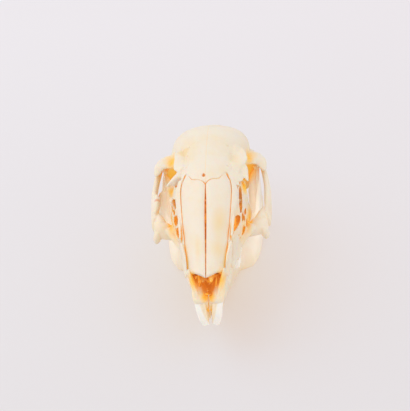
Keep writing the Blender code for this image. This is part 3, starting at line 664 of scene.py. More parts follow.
WINDOWS = {     # place along y, height along the wall, half length, half height, rise per mm of y
    1: ((37.3, 3.9, 4.0, 1.5, 0.43), (27.4, 3.7, 4.6, 2.0, -0.4), (21.4, 5.6, 2.4, 0.9, -0.3),
        (33.4, 0.0, 1.3, 1.0, 0.2), (36.8, -1.2, 1.6, 0.9, -0.3), (31.0, -3.6, 1.4, 1.1, 0.0),
        (34.8, -4.4, 1.4, 1.0, 0.3), (29.6, -6.2, 1.1, 0.85, 0.0)),
    -1: ((39.0, 0.8, 4.3, 2.8, -1.0), (31.9, 1.4, 2.4, 2.1, -0.6), (25.0, 1.3, 5.4, 3.0, -0.5),
         (35.6, 1.2, 1.4, 1.0, -0.5), (36.2, -3.4, 1.6, 0.95, 0.2))}
SEEDS = 150
STRUT = 0.62            # on a strut the distances to the two nearest seeds differ by less
LATTICE_ENDS = (19.6, 42.0)
LATTICE_GRID = (270, 190)
LATTICE_THICK = 0.5
TOOTH_ROW_CLEAR = 0.15  # between the cheek teeth and the bone over them


def lattice_sheet(side):
    """The windowed side of the snout, laid out on the left: a sheet in y and in height along the leaning
    wall, less the quads that lie in an opening."""
    rows, columns = LATTICE_GRID
    y = np.linspace(17.8, 43.0, rows)[:, None] + np.zeros((1, columns))
    share = np.linspace(-1.0, 1.0, columns)[None, :] + np.zeros((rows, 1))
    high = share * WALL_HALF(y) * 1.01
    lean = np.radians(WALL_TILT(y))
    x = WALL_X(y) + high * np.sin(lean) + 0.7 * (1 - share ** 2)
    z = WALL_Z(y) + high * np.cos(lean)
    points = np.stack([x, y, z], -1).reshape(-1, 3)
    index = np.arange(rows * columns).reshape(rows, columns)
    quads = np.stack([index[:-1, :-1], index[:-1, 1:], index[1:, 1:], index[1:, :-1]], -1).reshape(-1, 4)
    return points, quads[~is_open(y[:-1, :-1].ravel(), high[:-1, :-1].ravel(), side)]


def is_open(y, high, side):
    """True where the side of the snout is open. Struts run where the two nearest of a scatter of seeds are
    nearly equally far, and widen away from the middle of the lattice. Each window is an ellipse sheared by
    its rise."""
    random = np.random.default_rng(12 + side)
    seeds = np.stack([random.uniform(18, 43, SEEDS), random.uniform(-8, 8, SEEDS)], 1)
    away = np.hypot((y[:, None] - seeds[:, 0]) / 1.35, high[:, None] - seeds[:, 1])
    nearest = np.partition(away, 1, axis=1)[:, :2]
    strut = nearest[:, 1] - nearest[:, 0]
    zone = bump(y - 31.5, 7.0) * bump(high + 2.2, 4.4)
    opening = strut > STRUT + 2.7 * np.maximum(0.6 - zone, 0)
    for place, height, half_long, half_high, rise in WINDOWS[side]:
        across = high - height - rise * (y - place)
        opening |= ((y - place) / half_long) ** 2 + (across / half_high) ** 2 < 1
    return opening & (y > LATTICE_ENDS[0]) & (y < LATTICE_ENDS[1])


def maxilla_forms():
    """Closed forms of the left maxilla: tooth sockets, palate, orbit floor, cheek root and its spur."""
    corner = limb([(10.8, 42.2, 38.4), (12.4, 42.9, 35.0), (12.9, 42.7, 30.4)], [1.3, 1.2, 1.2],
                  [0.7, 0.8, 0.8], up=(1, 0, 0.5), rounding=0.15)
    front_post = limb([(8.9, 18.7, 36.6), (7.6, 18.7, 29.0), (6.6, 18.8, 22.4)], [0.7, 0.8, 1.0],
                      [0.6, 0.6, 0.9], up=(1, 0, 0), rounding=0.05)
    upper_rail = limb([(8.5, 18.4, 36.9), (9.0, 26.0, 38.4), (8.8, 34.0, 39.2), (10.2, 41.6, 39.2)],
                      [0.5, 0.45, 0.6, 1.0], [0.5, 0.5, 0.55, 0.6], rounding=0.03)
    bar = along_y(MAXILLA_START, 29.0, curve((18, 5.0), (29, 7.6)), curve((18, 21.8), (29, 22.4)),
                  curve((18, 3.1), (29, 2.9)), level(2.3), rounding=0.5)
    sockets = along_y(23.6, 46.0, curve((23, 7.6), (46, 8.4)), curve((23, 22.8), (46, 22.6)),
                      curve((23, 2.5), (40, 2.9), (46, 2.0)), curve((23, 3.2), (40, 3.5), (46, 2.8)),
                      power=3.0, rounding=2.0)
    lower_rail = limb([(7.2, 20.5, 23.0), (8.8, 26.0, 24.2), (12.0, 32.0, 25.0), (14.5, 36.0, 25.6)],
                      [0.9, 1.3, 1.7, 1.8], [1.0, 1.2, 1.4, 1.6], rounding=0.06)
    palate = along_y(31.0, 39.0, level(3.2), level(20.6), level(3.6), level(0.95), power=3.5, rounding=1.2)
    dome = egg((10.2, 43.6, 24.6), (4.0, 6.0, 4.2))
    shelf = limb([(16.8, 37.0, 24.8), (17.8, 40.0, 25.2), (18.9, 43.4, 25.8)], [2.3, 1.9, 0.5],
                 [3.2, 3.3, 2.6], rounding=0.12)
    back_wall = limb([(9.5, 40.6, 29.5), (11.6, 41.4, 31.5), (13.0, 41.6, 34.5)], [2.4, 2.2, 1.6],
                     [0.8, 0.8, 0.8], up=(1, 0, 0), rounding=0.08)
    root = limb([(9.8, 37.2, 25.0), (13.2, 36.4, 23.0), (16.8, 37.0, 24.2), (19.4, 38.85, 24.4)],
                [3.4, 2.6, 2.6, 1.4], [3.0, 2.1, 3.4, 3.5], power=2.3, rounding=0.08)
    spur = limb([(17.6, 37.0, 25.2), (18.7, 35.4, 22.4), (19.2, 34.3, 20.2)], [2.4, 2.0, 1.4],
                [1.4, 1.4, 1.0], up=(1, 0, 0), rounding=0.3)
    return [corner, front_post, upper_rail, bar, sockets, lower_rail, palate, dome, shelf, back_wall, root,
            spur]


def lattice_wall(side):
    """The lattice sheet with its thickness."""
    wall = mesh_from("lattice", *lattice_sheet(side))
    thicken = wall.modifiers.new("thickness", "SOLIDIFY")
    thicken.thickness = LATTICE_THICK * MM
    thicken.offset = 0
    evaluated(wall)
    return wall


def maxilla_shape(points):
    """Flat at the midline, over the cheek teeth and at the seam in front, and clear of the nose bone."""
    points = midline_cut(points)
    points[:, 2] = np.maximum(points[:, 2], MOUTH_ROOF_Z + TOOTH_ROW_CLEAR)
    points[:, 1] = np.maximum(points[:, 1], MAXILLA_START)
    return below_nose_bone(points, 3.0, 2.2, margin=0.12, reach=0.0)


def turn_over(obj):
    """The mirror image of a left-hand piece, with its faces turned outwards again."""
    bm = bmesh.new()
    bm.from_mesh(obj.data)
    bmesh.ops.scale(bm, verts=bm.verts, vec=(-1, 1, 1))
    bmesh.ops.reverse_faces(bm, faces=bm.faces)
    bm.to_mesh(obj.data)
    bm.free()


def make_side_piece(name, side, forms, voxel, shape=None, rounds=3, relief=bone_relief, hollows=(), wall=None,
                    look=None, slot="bone"):
    """A left-hand skin less its hollows, shaped by shape(points), or its mirror image. Of a skin with a wall
    only the largest part stays, as the wall's openings leave crumbs. It stands for the node of its name."""
    name = f"{name}_{SIDES[side]}"
    obj = skin(name, forms, voxel, rounds, relief, wall)
    if wall is not None:
        keep_largest_part(obj)
    for hollow in hollows:
        hollow_out(obj, hollow)
    if shape is not None:
        write_points(obj.data, shape(read_points(obj.data)))
    if side < 0:
        turn_over(obj)
    finish(obj, look or bone(), slot, name)


def jugal_forms(side):
    """A cheek bone laid out on the left: a tall thin arch. The right one widens inwards near its front."""
    arch = [along_y(39.15, 66.5,
                    curve((39, 19.2), (44, 19.85), (50, 19.95), (57, 19.15), (66.5, 17.2)),
                    curve((39, 24.4), (46, 26.4), (54, 28.6), (61, 30.2), (66.5, 30.8)),
                    curve((39, 1.3), (48, 1.1), (60, 1.0), (66.5, 0.7)),
                    curve((39, 3.6), (46, 3.3), (54, 2.8), (61, 2.2), (66.5, 1.3)),
                    tilt=-8.0, power=2.6, stations=160, around=60, rounding=0.5)]
    if side < 0:
        arch.append(limb([(18.9, 41.0, 27.2), (18.5, 44.0, 28.6), (18.5, 47.0, 29.0), (19.3, 50.0, 29.4)],
                         [0.8, 1.3, 1.3, 0.4], [2.2, 2.0, 1.6, 0.8], rounding=0.1))
    return arch


def arch_pit(side):
    """The small pit in the right arch's widened part, laid out on the left."""
    return [egg((18.2, 46.0, 30.6), (0.9, 1.0, 1.0))] if side < 0 else []


def jugal_relief(points):
    """Height in mm: soft unevenness, with a slot in the inner face near its front."""
    x, y, z = points.T
    inner = 1 / (1 + np.exp((x - 19.9) * 6))
    return bone_relief(points) - 0.6 * bump(y - 43.4, 1.2) * bump(z - 27.6, 0.9) * inner


def mandible_forms(side):
    """Closed forms of a half of the lower jaw, laid out on the left. The right one has a stouter front edge
    to its upright plate."""
    body = along_y(7.0, 60.0,
                   curve((7, 1.5), (16, 2.1), (24, 3.3), (32, 5.6), (40.2, 7.9), (42.4, 11.0), (50, 14.1),
                         (60, 15.8)),
                   curve((7, 10.8), (16, 9.0), (24, 7.8), (32, 6.6), (42, 6.2), (50, 8.4), (60, 10.6)),
                   curve((7, 1.2), (16, 1.8), (24, 1.8), (32, 1.9), (40.2, 1.9), (42.4, 2.5), (50, 1.5),
                         (60, 0.9)),
                   curve((7, 1.8), (16, 2.9), (24, 3.9), (32, 5.8), (42, 6.4), (50, 8.4), (60, 9.6)),
                   tilt=curve((7, 0), (24, 5), (32, 8), (39, 4), (43, -10), (60, -5)), stations=200,
                   rounding=1.8)
    ramus = along_y(49.0, 71.6, curve((49, 14.4), (56, 15.7), (64, 16.1), (72, 16.0)),
                    curve((49, 10.4), (54, 13.6), (58, 16.6), (63, 16.6), (67, 10.8), (71.6, 8.8)),
                    curve((49, 0.8), (60, 0.6), (71.6, 0.6)),
                    curve((49, 8.6), (54, 12.2), (58, 15.4), (63, 15.6), (66.4, 10.4), (71.6, 6.4)),
                    tilt=2.0, power=2.8, stations=120, around=60, rounding=3.0)
    rim = limb([(14.6, 55.0, 3.2), (15.8, 62.0, 1.4), (16.1, 68.0, 3.0), (15.9, 71.0, 7.6),
                (15.3, 67.8, 15.0)],
               [0.9, 0.9, 0.9, 0.9, 0.7], [1.1, 1.1, 1.1, 1.1, 0.8], rounding=0.05)
    condyle = egg((15.9, 61.2, 31.6), (1.3, 2.7, 1.1))
    front_edge = limb([(12.6, 47.5, 12.0), (14.6, 51.8, 18.2), (14.8, 56.0, 24.5), (15.6, 59.8, 30.6)],
                      [1.6, 1.7, 2.0, 1.3], [1.4, 1.3, 1.2, 1.0], up=(0, 1, -0.7), rounding=0.1)
    forms = [body, ramus, rim, front_edge, condyle]
    if side < 0:
        forms.append(limb([(14.2, 48.5, 12.0), (16.0, 51.6, 19.0), (16.3, 52.6, 24.0), (16.5, 53.6, 28.0)],
                          [1.7, 2.1, 1.9, 1.3], [1.0, 1.0, 1.0, 0.9], up=(0, 1, -0.7), rounding=0.1))
    return forms


def mandible_relief(points):
    """Height in mm: pores, the chewing muscle's hollow on the outer side and the nerve's hole before it."""
    x, y, z = points.T
    outer = 1 / (1 + np.exp(-(x - 14.9) * 4))
    hollow = 0.35 * bump(y - 58, 6) * bump(z - 14, 7) * outer
    nerve = 1.3 * bump(np.hypot(y - 24.5, z - 9.0), 0.65) * (x > 3.6)
    return bone_relief(points) - hollow - nerve


RIGHT_JAW_OUT = 1.3


def mandible_shape(points, side):
    """Flat on the table, and flat against the other half at the chin. The right half stands further out, by a
    share that grows with y behind the chin and ends under the jaw joint."""
    points = midline_cut(points, JAW_CLEAR)
    if side < 0:
        behind_chin = np.clip((points[:, 1] - 26.0) / 20.0, 0, 1)
        under_joint = np.clip((29.0 - points[:, 2]) / 4.0, 0, 1)
        points[:, 0] += RIGHT_JAW_OUT * behind_chin * under_joint
    points[:, 2] = np.maximum(points[:, 2], 0.0)
    return points


# Teeth

TOOTH_VOXEL = 0.13
INCISOR_AROUND = 72
GROOVE_ANGLE = math.radians(250)
GROOVE_WIDTH = 0.2


def incisor_form(path, wide, thick, up, groove=0.0):
    """A curved tooth: a limb of squarish section. A groove in its front face draws the section in by a bell
    curve of the angle about its place."""
    points, faces = limb(path, wide, thick, up=up, power=2.6, stations=90, around=INCISOR_AROUND,
                         rounding=0.02)
    rings = points.reshape(-1, INCISOR_AROUND, 3)
    middle = rings.mean(1, keepdims=True)
    turn = np.arange(INCISOR_AROUND) * 2 * math.pi / INCISOR_AROUND
    away = np.angle(np.exp(1j * (turn - GROOVE_ANGLE)))
    rings = middle + (rings - middle) * (1 - groove * bump(away, GROOVE_WIDTH))[None, :, None]
    return rings.reshape(-1, 3), faces


def upper_incisor_forms():
    """The grooved front tooth and the small peg behind it, left."""
    tooth = incisor_form([(3.9, 9.0, 24.2), (3.6, 5.8, 24.0), (3.0, 3.0, 22.2), (2.4, 1.6, 17.8),
                          (1.68, 2.1, 12.6)],
                         (1.1, 1.3, 1.8, 1.75, 1.2), (1.0, 1.15, 1.3, 1.25, 0.75), (0, 1, -0.4), groove=0.2)
    peg = limb([(1.9, 7.0, 23.6), (1.7, 6.0, 21.4), (1.5, 4.7, 18.9)], [0.72, 0.72, 0.5], [0.72, 0.72, 0.5],
               up=(0, 1, 0), rounding=0.1)
    return [tooth, peg]


def lower_incisor_forms():
    """The lower front tooth, left."""
    return [incisor_form([(1.95, 13.0, 9.0), (1.7, 8.6, 10.2), (1.5, 5.6, 12.4), (1.42, 4.6, 15.2),
                          (1.4, 4.75, 16.8)],
                         (1.0, 1.15, 1.2, 1.15, 1.1), (0.9, 1.0, 1.0, 0.85, 0.5), (0, 1, 0.5))]


def cheek_row(first, sizes, across, low, high, half_width):
    """A row of cheek teeth: each is two squarish ridges side by side, a little narrower behind."""
    forms, place = [], first
    for size in sizes:
        for ridge in (0.27, 0.73):
            y = place + size * ridge
            wide = float(half_width(y)) * (1.0 if ridge < 0.5 else 0.93)
            x = float(across(y))
            path = [(x, y, low), (x, y, (low + high) / 2), (x, y, high)]
            forms.append(limb(path, [wide, wide, wide * 0.96], [size * 0.285, size * 0.29, size * 0.27],
                              up=(0, 1, 0), power=3.0, stations=24, around=40, rounding=0.05))
        place += size
    return forms


def upper_row():
    """The six upper cheek teeth, left."""
    return cheek_row(25.4, (2.0, 2.8, 2.8, 2.8, 2.6, 1.5), curve((25, 7.9), (40, 8.3)), BITE_Z + 0.16,
                     MOUTH_ROOF_Z - 0.1, curve((25, 1.5), (28, 1.95), (37, 1.95), (40, 1.0)))


def lower_row():
    """The five lower cheek teeth, left."""
    return cheek_row(27.0, (2.7, 2.7, 2.7, 2.6, 2.0), curve((27, 5.2), (32, 6.8), (40, 9.0)), 12.6,
                     BITE_Z - 0.16, curve((27, 1.4), (29, 1.6), (37, 1.6), (40, 1.1)))


def tooth_relief(points):
    """Height in mm: fine upright ripples."""
    return -0.03 * (1 + rough(points * (1, 1, 0.15), 0.7, 81, 2))


# Inside the nose

def nose_scrolls():
    """Thin scrolls and walls inside the nose, both sides, that show in its opening, between the nose bones
    and through the windows."""
    middle = along_y(10.0, 38.0, level(0.0), curve((10, 27.6), (38, 34.0)), level(0.28),
                     curve((10, 3.4), (20, 6.5), (38, 7.5)), power=3.5, rounding=1.5)
    lining = slab(lambda y: -NASAL_WIDTH(y) + 0.9, lambda y: NASAL_WIDTH(y) - 0.9, level(7.5), level(40.0),
                  lambda x, y: face_top(x, y) - 2.75, level(0.5))
    low = limb([(2.6, 6.5, 25.6), (3.0, 11.0, 27.4), (3.3, 18.0, 29.5), (3.6, 26.0, 31.5)], [0.28] * 4,
               [1.3, 2.2, 2.8, 3.0], up=(0.2, 0, 1), rounding=0.08)
    high = limb([(1.3, 5.6, 28.6), (1.8, 10.0, 31.0), (2.2, 18.0, 33.4), (2.6, 28.0, 37.0)],
                [0.9, 1.1, 1.3, 1.4], [0.22] * 4, up=(0.35, 0, 1), rounding=0.1)
    curl = limb([(3.9, 8.0, 28.0), (4.6, 12.0, 30.2), (5.2, 18.0, 32.0)], [0.25] * 3, [1.2, 1.6, 2.0],
                up=(-0.5, 0, 1), rounding=0.1)
    side_wall = along_y(19.5, 41.0, lambda y: WALL_X(y) - 2.3, WALL_Z, level(0.3),
                        lambda y: WALL_HALF(y) - 1.6, tilt=WALL_TILT, power=3.0, stations=80, around=50,
                        rounding=0.6)
    bed = limb([(0.0, 4.2, 24.2), (0.0, 8.0, 22.4), (0.0, 16.0, 24.8), (0.0, 26.0, 28.0)],
               [2.0, 2.6, 3.0, 3.2], [0.3] * 4, up=(0, 0.3, 1), rounding=0.08)
    return [middle, lining, bed, *both(low, high, curl, side_wall)]


# Materials

class Socket:
    """A shader socket whose arithmetic adds Math nodes to its tree."""

    def __init__(self, tree, socket):
        self.tree = tree
        self.socket = socket

    def maths(self, operation, *others, clamp=False):
        """A Math node of this socket and others, which may be numbers."""
        node = self.tree.nodes.new("ShaderNodeMath")
        node.operation = operation
        node.use_clamp = clamp
        for place, value in enumerate((self, *others)):
            if isinstance(value, Socket):
                self.tree.links.new(value.socket, node.inputs[place])
            else:
                node.inputs[place].default_value = value
        return Socket(self.tree, node.outputs[0])

    def __add__(self, other):
        return self.maths("ADD", other)

    def __mul__(self, other):
        return self.maths("MULTIPLY", other)

    def __rsub__(self, other):
        return (self * -1.0) + other

    def __sub__(self, other):
        return self.maths("SUBTRACT", other)

    __radd__ = __add__
    __rmul__ = __mul__

    def clamped(self):
        """Held between 0 and 1."""
        return self.maths("ADD", 0.0, clamp=True)

    def step(self, low, high):
        """0 below low, 1 above high, and straight between."""
        return ((self - low) * (1.0 / (high - low))).clamped()


class Paint:
    """A material under construction. x, y and z are the piece's own coordinates in metres, side is the
    distance from the midline, and folded lays the right side over the left."""

    def __init__(self, name):
        self.material = bpy.data.materials.new(name)
        self.material.use_nodes = True
        self.tree = self.material.node_tree
        self.shader = self.tree.nodes["Principled BSDF"]
        self.place = self.node("ShaderNodeTexCoord", output="Object")
        self.x, self.y, self.z = [self.node("ShaderNodeSeparateXYZ", output=axis, Vector=self.place)
                                  for axis in "XYZ"]
        self.side = self.x.maths("ABSOLUTE")
        self.folded = self.node("ShaderNodeCombineXYZ", X=self.side, Y=self.y, Z=self.z)

    def node(self, kind, output=0, settings=None, **sockets):
        """Any node: settings are set first, then its sockets get values or links."""
        made = self.tree.nodes.new(kind)
        for key, value in (settings or {}).items():
            setattr(made, key, value)
        for key, value in sockets.items():
            self.feed(made, key.replace("_", " "), value)
        return Socket(self.tree, made.outputs[output])

    def feed(self, node, key, value):
        """Links a socket of a node to another, or gives it a number or colour."""
        if isinstance(value, Socket):
            self.tree.links.new(value.socket, node.inputs[key])
        else:
            node.inputs[key].default_value = value

    def noise(self, scale, detail=4.0, roughness=0.6):
        """Noise from 0 to 1, with scale cells to a metre."""
        return self.node("ShaderNodeTexNoise", settings={"noise_dimensions": "3D"}, Vector=self.place,
                         Scale=scale, Detail=detail, Roughness=roughness)

    def blend(self, share, first, second):
        """A colour between two, which may be sockets, by a share from 0 to 1."""
        made = self.tree.nodes.new("ShaderNodeMix")
        made.data_type = "RGBA"
        self.feed(made, 0, share)
        for key, value in ((6, first), (7, second)):
            self.feed(made, key, value if isinstance(value, Socket) else (*value, 1.0))
        return Socket(self.tree, made.outputs[2])

    def shut(self, distance, samples=12):
        """How far a point is shut in by surfaces within a distance, from 0 in the open to 1."""
        return 1 - self.node("ShaderNodeAmbientOcclusion", output="AO", settings={"samples": samples},
                             Distance=distance)

    def vector_maths(self, operation, first, second=None, output=0):
        """A Vector Math node of one or two vectors."""
        made = self.tree.nodes.new("ShaderNodeVectorMath")
        made.operation = operation
        self.feed(made, 0, first)
        if second is not None:
            self.feed(made, 1, second)
        return Socket(self.tree, made.outputs[output])

    def spot(self, centre, radii, paired=True):
        """1 in the middle of an ellipsoid given in the skull's mm, falling to 0 at its surface."""
        middle = (centre[0] * MM, (centre[1] - Y_MIDDLE) * MM, centre[2] * MM)
        from_middle = self.vector_maths("SUBTRACT", self.folded if paired else self.place, middle)
        scaled = self.vector_maths("DIVIDE", from_middle, tuple(r * MM for r in radii))
        return (1 - self.vector_maths("LENGTH", scaled, output="Value")).clamped()

    def spots(self, rows, paired=True):
        """The sum of spots given as rows of centre, radii and weight."""
        return sum(self.spot(centre, radii, paired) * weight for centre, radii, weight in rows)

    def lit_within(self, weight, radius, scale_mm):
        """Light that enters the surface and comes out nearby, further in red than in blue."""
        self.shader.inputs["Subsurface Weight"].default_value = weight
        self.shader.inputs["Subsurface Radius"].default_value = radius
        self.shader.inputs["Subsurface Scale"].default_value = scale_mm * MM

    def end(self, colour, roughness, height=None, bump_mm=0.05, glow=None):
        """Joins colour, roughness, bump height and the light that thin bone lets through to the shader."""
        self.feed(self.shader, "Base Color", colour)
        self.feed(self.shader, "Roughness", roughness)
        if height is not None:
            normal = self.node("ShaderNodeBump", Height=height, Strength=1.0, Distance=bump_mm * MM)
            self.feed(self.shader, "Normal", normal)
        if glow is not None:
            self.feed(self.shader, "Emission Color", glow)
            self.shader.inputs["Emission Strength"].default_value = 1.0
        return self.material


BLACK = (0.0, 0.0, 0.0)

# Spots of colour: each row is a middle and radii in mm, and a weight.
THIN_BONE_LIGHT_AND_SHADE = (           # amber: painted light through thin bone, and painted shade in valleys and gaps
    ((13.6, 61.4, 35.4), (3.6, 3.6, 3.2), 0.9),     # roots of the cheek arches
    ((12.0, 58.8, 31.0), (4.8, 4.0, 7.0), 2.4),     # walls behind the eyes
    ((9.0, 50.0, 35.5), (4.6, 6.0, 6.5), 1.0),      # walls between the eyes
    ((12.2, 43.2, 36.8), (2.4, 3.0, 3.4), 1.7),     # rim before the eyes
    ((0.3, 2.8, 24.6), (2.8, 3.4, 2.4), 1.7),       # lip of the nose opening
    ((0.4, 3.2, 18.0), (1.3, 3.0, 5.0), 1.3),       # between the incisors
    ((4.3, 7.0, 29.4), (2.4, 5.5, 4.2), 2.2),       # walls of the nose opening
    ((11.7, 52.5, 19.5), (1.5, 6.0, 6.5), 1.7),     # inner edge of the jaw's upright plate
    ((13.4, 38.0, 26.0), (1.5, 8.0, 5.5), 1.1),     # valley beside the snout
    ((11.6, 32.0, 28.0), (3.0, 8.0, 5.5), 0.6),     # windowed side of the snout
    ((9.0, 29.0, 34.5), (2.6, 12.0, 5.0), 0.4))     # its upper edge
NOSE_HOLE_SHADE = (          # painted shade inside the nose
    ((0.0, 6.5, 28.0), (2.7, 4.5, 4.0), 1.6),
    ((0.0, 12.0, 23.8), (4.0, 9.0, 4.2), 2.0))
SMALL_HOLE_SHADE = (         # painted shade, one side only: the hole between the brows, the pit in the right cheek arch
    ((-0.6, 40.0, 45.6), (0.6, 0.9, 1.3), 2.5),
    ((-18.5, 45.8, 30.0), (1.2, 1.1, 1.1), 1.3))
YELLOW_SPOTS = (        # patches on the brows and nose bones and round the incisors
    ((-8.2, 55.6, 43.4), (2.4, 2.4, 3.0), 1.5),
    ((9.5, 49.0, 43.5), (3.0, 5.0, 3.0), 0.6),
    ((4.6, 23.0, 39.5), (3.4, 9.0, 4.0), 1.1),
    ((4.2, 14.0, 36.5), (2.6, 7.0, 3.0), 0.7),
    ((-2.6, 12.0, 36.5), (1.2, 12.0, 3.0), 0.5),
    ((4.6, 5.0, 25.5), (3.6, 5.0, 5.0), 1.1),
    ((-4.6, 5.0, 25.5), (3.6, 5.0, 5.0), 1.1),
    ((5.6, 42.0, 45.0), (3.0, 4.0, 3.0), 0.4))
BONE_LIT = (            # glow: round the incisors, roots of the cheek arches, and the arches
    ((4.4, 4.5, 25.5), (3.0, 5.0, 5.5), 0.4),
    ((17.5, 38.0, 25.0), (5.0, 6.0, 5.0), 0.35),
    ((19.5, 52.0, 26.0), (3.0, 14.0, 7.0), 0.25))
JAW_LIT = (             # glow: the jaw's upright plate, and its lower rear
    ((15.0, 53.0, 21.0), (4.0, 12.0, 16.0), 0.9),
    ((14.0, 44.0, 8.0), (8.0, 26.0, 14.0), 0.45))


def bone_paint(look, name, shut_in, lit):
    """Bleached ivory bone: pale yellow in broad patches, with painted shade in tan and amber where it is shut
    in and in red-brown in deep holes, painted amber light where it is thin, and amber along the midline seam.
    Thin bone also lets a little light through, and glows a little as painted light. shut_in is how much the
    painted shade of being shut in tints it, and lit are spots of painted light that glow nearly white."""
    paint = Paint(name)
    patches = paint.noise(95.0, 3.0, 0.55).step(0.46, 0.72)
    fine = paint.noise(900.0, 5.0, 0.65)
    grain = paint.noise(2600.0, 3.0, 0.6)
    # How shut in a point is, close by and further off; this drives the painted shade below.
    near = paint.shut(2.2 * MM)
    deep = paint.shut(11.0 * MM)
    yellow = paint.spots(YELLOW_SPOTS, paired=False)
    colour = paint.blend((patches * 0.5 + yellow).clamped(), look.bone, look.yellow)
    colour = paint.blend(fine.step(0.55, 0.8) * 0.25, colour, look.yellow)
    # Painted shade: tan where the surface is shut in close by.
    colour = paint.blend((near.step(0.3, 0.75) * 0.4 * shut_in).clamped(), colour, look.tan)
    # Amber: painted light where bone is thin, painted shade where it is shut in, and the seam along the
    # midline.
    thin = paint.spots(THIN_BONE_LIGHT_AND_SHADE) * (fine * 0.8 + 0.55)
    midline = (1 - paint.side * (1 / (0.22 * MM))).clamped() * paint.z.step(37.5 * MM, 39.0 * MM)
    midline = midline * paint.y.step(-4.5 * MM, -4.0 * MM) * (fine * 0.5)
    amber = (near.step(0.55, 0.95) * (0.7 * shut_in) + deep.step(0.5, 0.9) * (0.75 * shut_in) + thin
             + midline).clamped()
    colour = paint.blend(amber, colour, look.amber)
    # Painted shade: red-brown deep in holes, inside the nose and in two small pits.
    dark = paint.spots(NOSE_HOLE_SHADE) * (fine * 0.9 + 0.5) + paint.spots(SMALL_HOLE_SHADE, paired=False)
    hole = (near.step(0.7, 0.98) * deep.step(0.6, 0.98) + dark).clamped()
    colour = paint.blend(hole, colour, look.deep)
    # Painted light: the emission glows nearly white in the lit spots, amber where the bone is amber, and
    # red-brown in holes.
    glow = paint.blend(paint.spots(lit).clamped() * 0.35, BLACK, look.enamel)
    glow = paint.blend((amber * 0.2).clamped(), glow, look.amber)
    glow = paint.blend((hole * 0.32).clamped(), glow, look.deep)
    paint.lit_within(0.22, (1.0, 0.5, 0.22), 1.6)
    return paint.end(colour, fine * 0.22 + 0.38, fine * 0.6 + grain * 0.4, 0.06, glow)


def tooth_paint(look, name):
    """Smooth enamel, whiter than the bone, with faint upright bands and a faint glow in them, as painted
    light. The inner sides of the upper incisors are yellow, in a wedge that narrows to their tips, and amber
    as painted shade between them and wherever the teeth are shut in, as at their roots."""
    paint = Paint(name)
    bands = paint.noise(700.0, 2.0, 0.5)
    near = paint.shut(1.6 * MM)
    colour = paint.blend(bands.step(0.45, 0.75) * 0.35, look.enamel, look.bone)
    wedge_half = (paint.z - 11.2 * MM) * 0.25
    inner = 1 - (paint.side - wedge_half).step(-0.2 * MM, 0.3 * MM)
    colour = paint.blend(inner * 0.7, colour, look.yellow)
    # Painted shade: amber where the surface is shut in and along the gap between the incisors.
    gap_shade = inner * (1 - paint.side.step(0.3 * MM, 0.9 * MM))
    colour = paint.blend((near.step(0.3, 0.85) * 0.6 + gap_shade * 0.6).clamped(), colour, look.amber)
    # Painted light: a faint glow in the bands.
    glow = paint.blend(bands * 0.14, BLACK, look.enamel)
    paint.lit_within(0.15, (1.0, 0.6, 0.35), 1.0)
    return paint.end(colour, bands * 0.1 + 0.2, bands, 0.02, glow)


def scroll_paint(look, name):
    """Paper-thin bone that glows orange, as painted light, with red-brown painted shade where it is shut in
    and red-brown blots.
    """
    paint = Paint(name)
    fine = paint.noise(1200.0, 4.0, 0.6)
    blots = paint.noise(420.0, 2.0, 0.6).step(0.42, 0.56)
    colour = paint.blend(fine.step(0.5, 0.85), look.amber, look.yellow)
    # Painted shade, red-brown where the scrolls are shut in, mixed with random blots.
    inside = (paint.shut(6.0 * MM).step(0.7, 1.0) * 0.5 + blots * 0.8).clamped()
    colour = paint.blend(inside, colour, look.deep)
    # Painted light: the scrolls glow in their own colour, less where they are shaded.
    glow = paint.blend(inside * -0.1 + 0.32, BLACK, colour)
    return paint.end(colour, fine * 0.2 + 0.45, fine, 0.05, glow)


def table_paint(look, name):
    """The pale table: lilac grey far off and beige near by, blended along its length. It glows a little in a
    warmer colour than its own, so the shadow on it stays pale and warm."""
    paint = Paint(name)
    share = paint.y.step(-0.09, 0.16)
    mist = paint.noise(9.0, 2.0, 0.5)
    colour = paint.blend(share, look.table_near, look.table_far)
    glow = paint.blend(share, look.table_glow_near, look.table_glow_far)
    return paint.end(colour, mist * 0.05 + 0.6, glow=glow)


def material(name, paint, *settings):
    """A material made once and then shared."""
    return bpy.data.materials.get(name) or paint(bpy.context.scene.skull_look, name, *settings)


def bone():
    """The skull's bone."""
    return material("dry_bone", bone_paint, 1.0, BONE_LIT)


def jaw_bone():
    """The lower jaw's bone takes less painted shade where it is shut in, behind the snout, and glows as
    painted light in spots.
    """
    return material("jaw_bone", bone_paint, 0.25, JAW_LIT)


# User settings

def colour_setting(name, description, default):
    """A colour that a user can change."""
    return FloatVectorProperty(name=name, description=description, subtype="COLOR", default=default)


def angle_setting(name, description, default):
    """An angle that a user can change, given here in degrees."""
    return FloatProperty(name=name, description=description, subtype="ANGLE", default=math.radians(default))


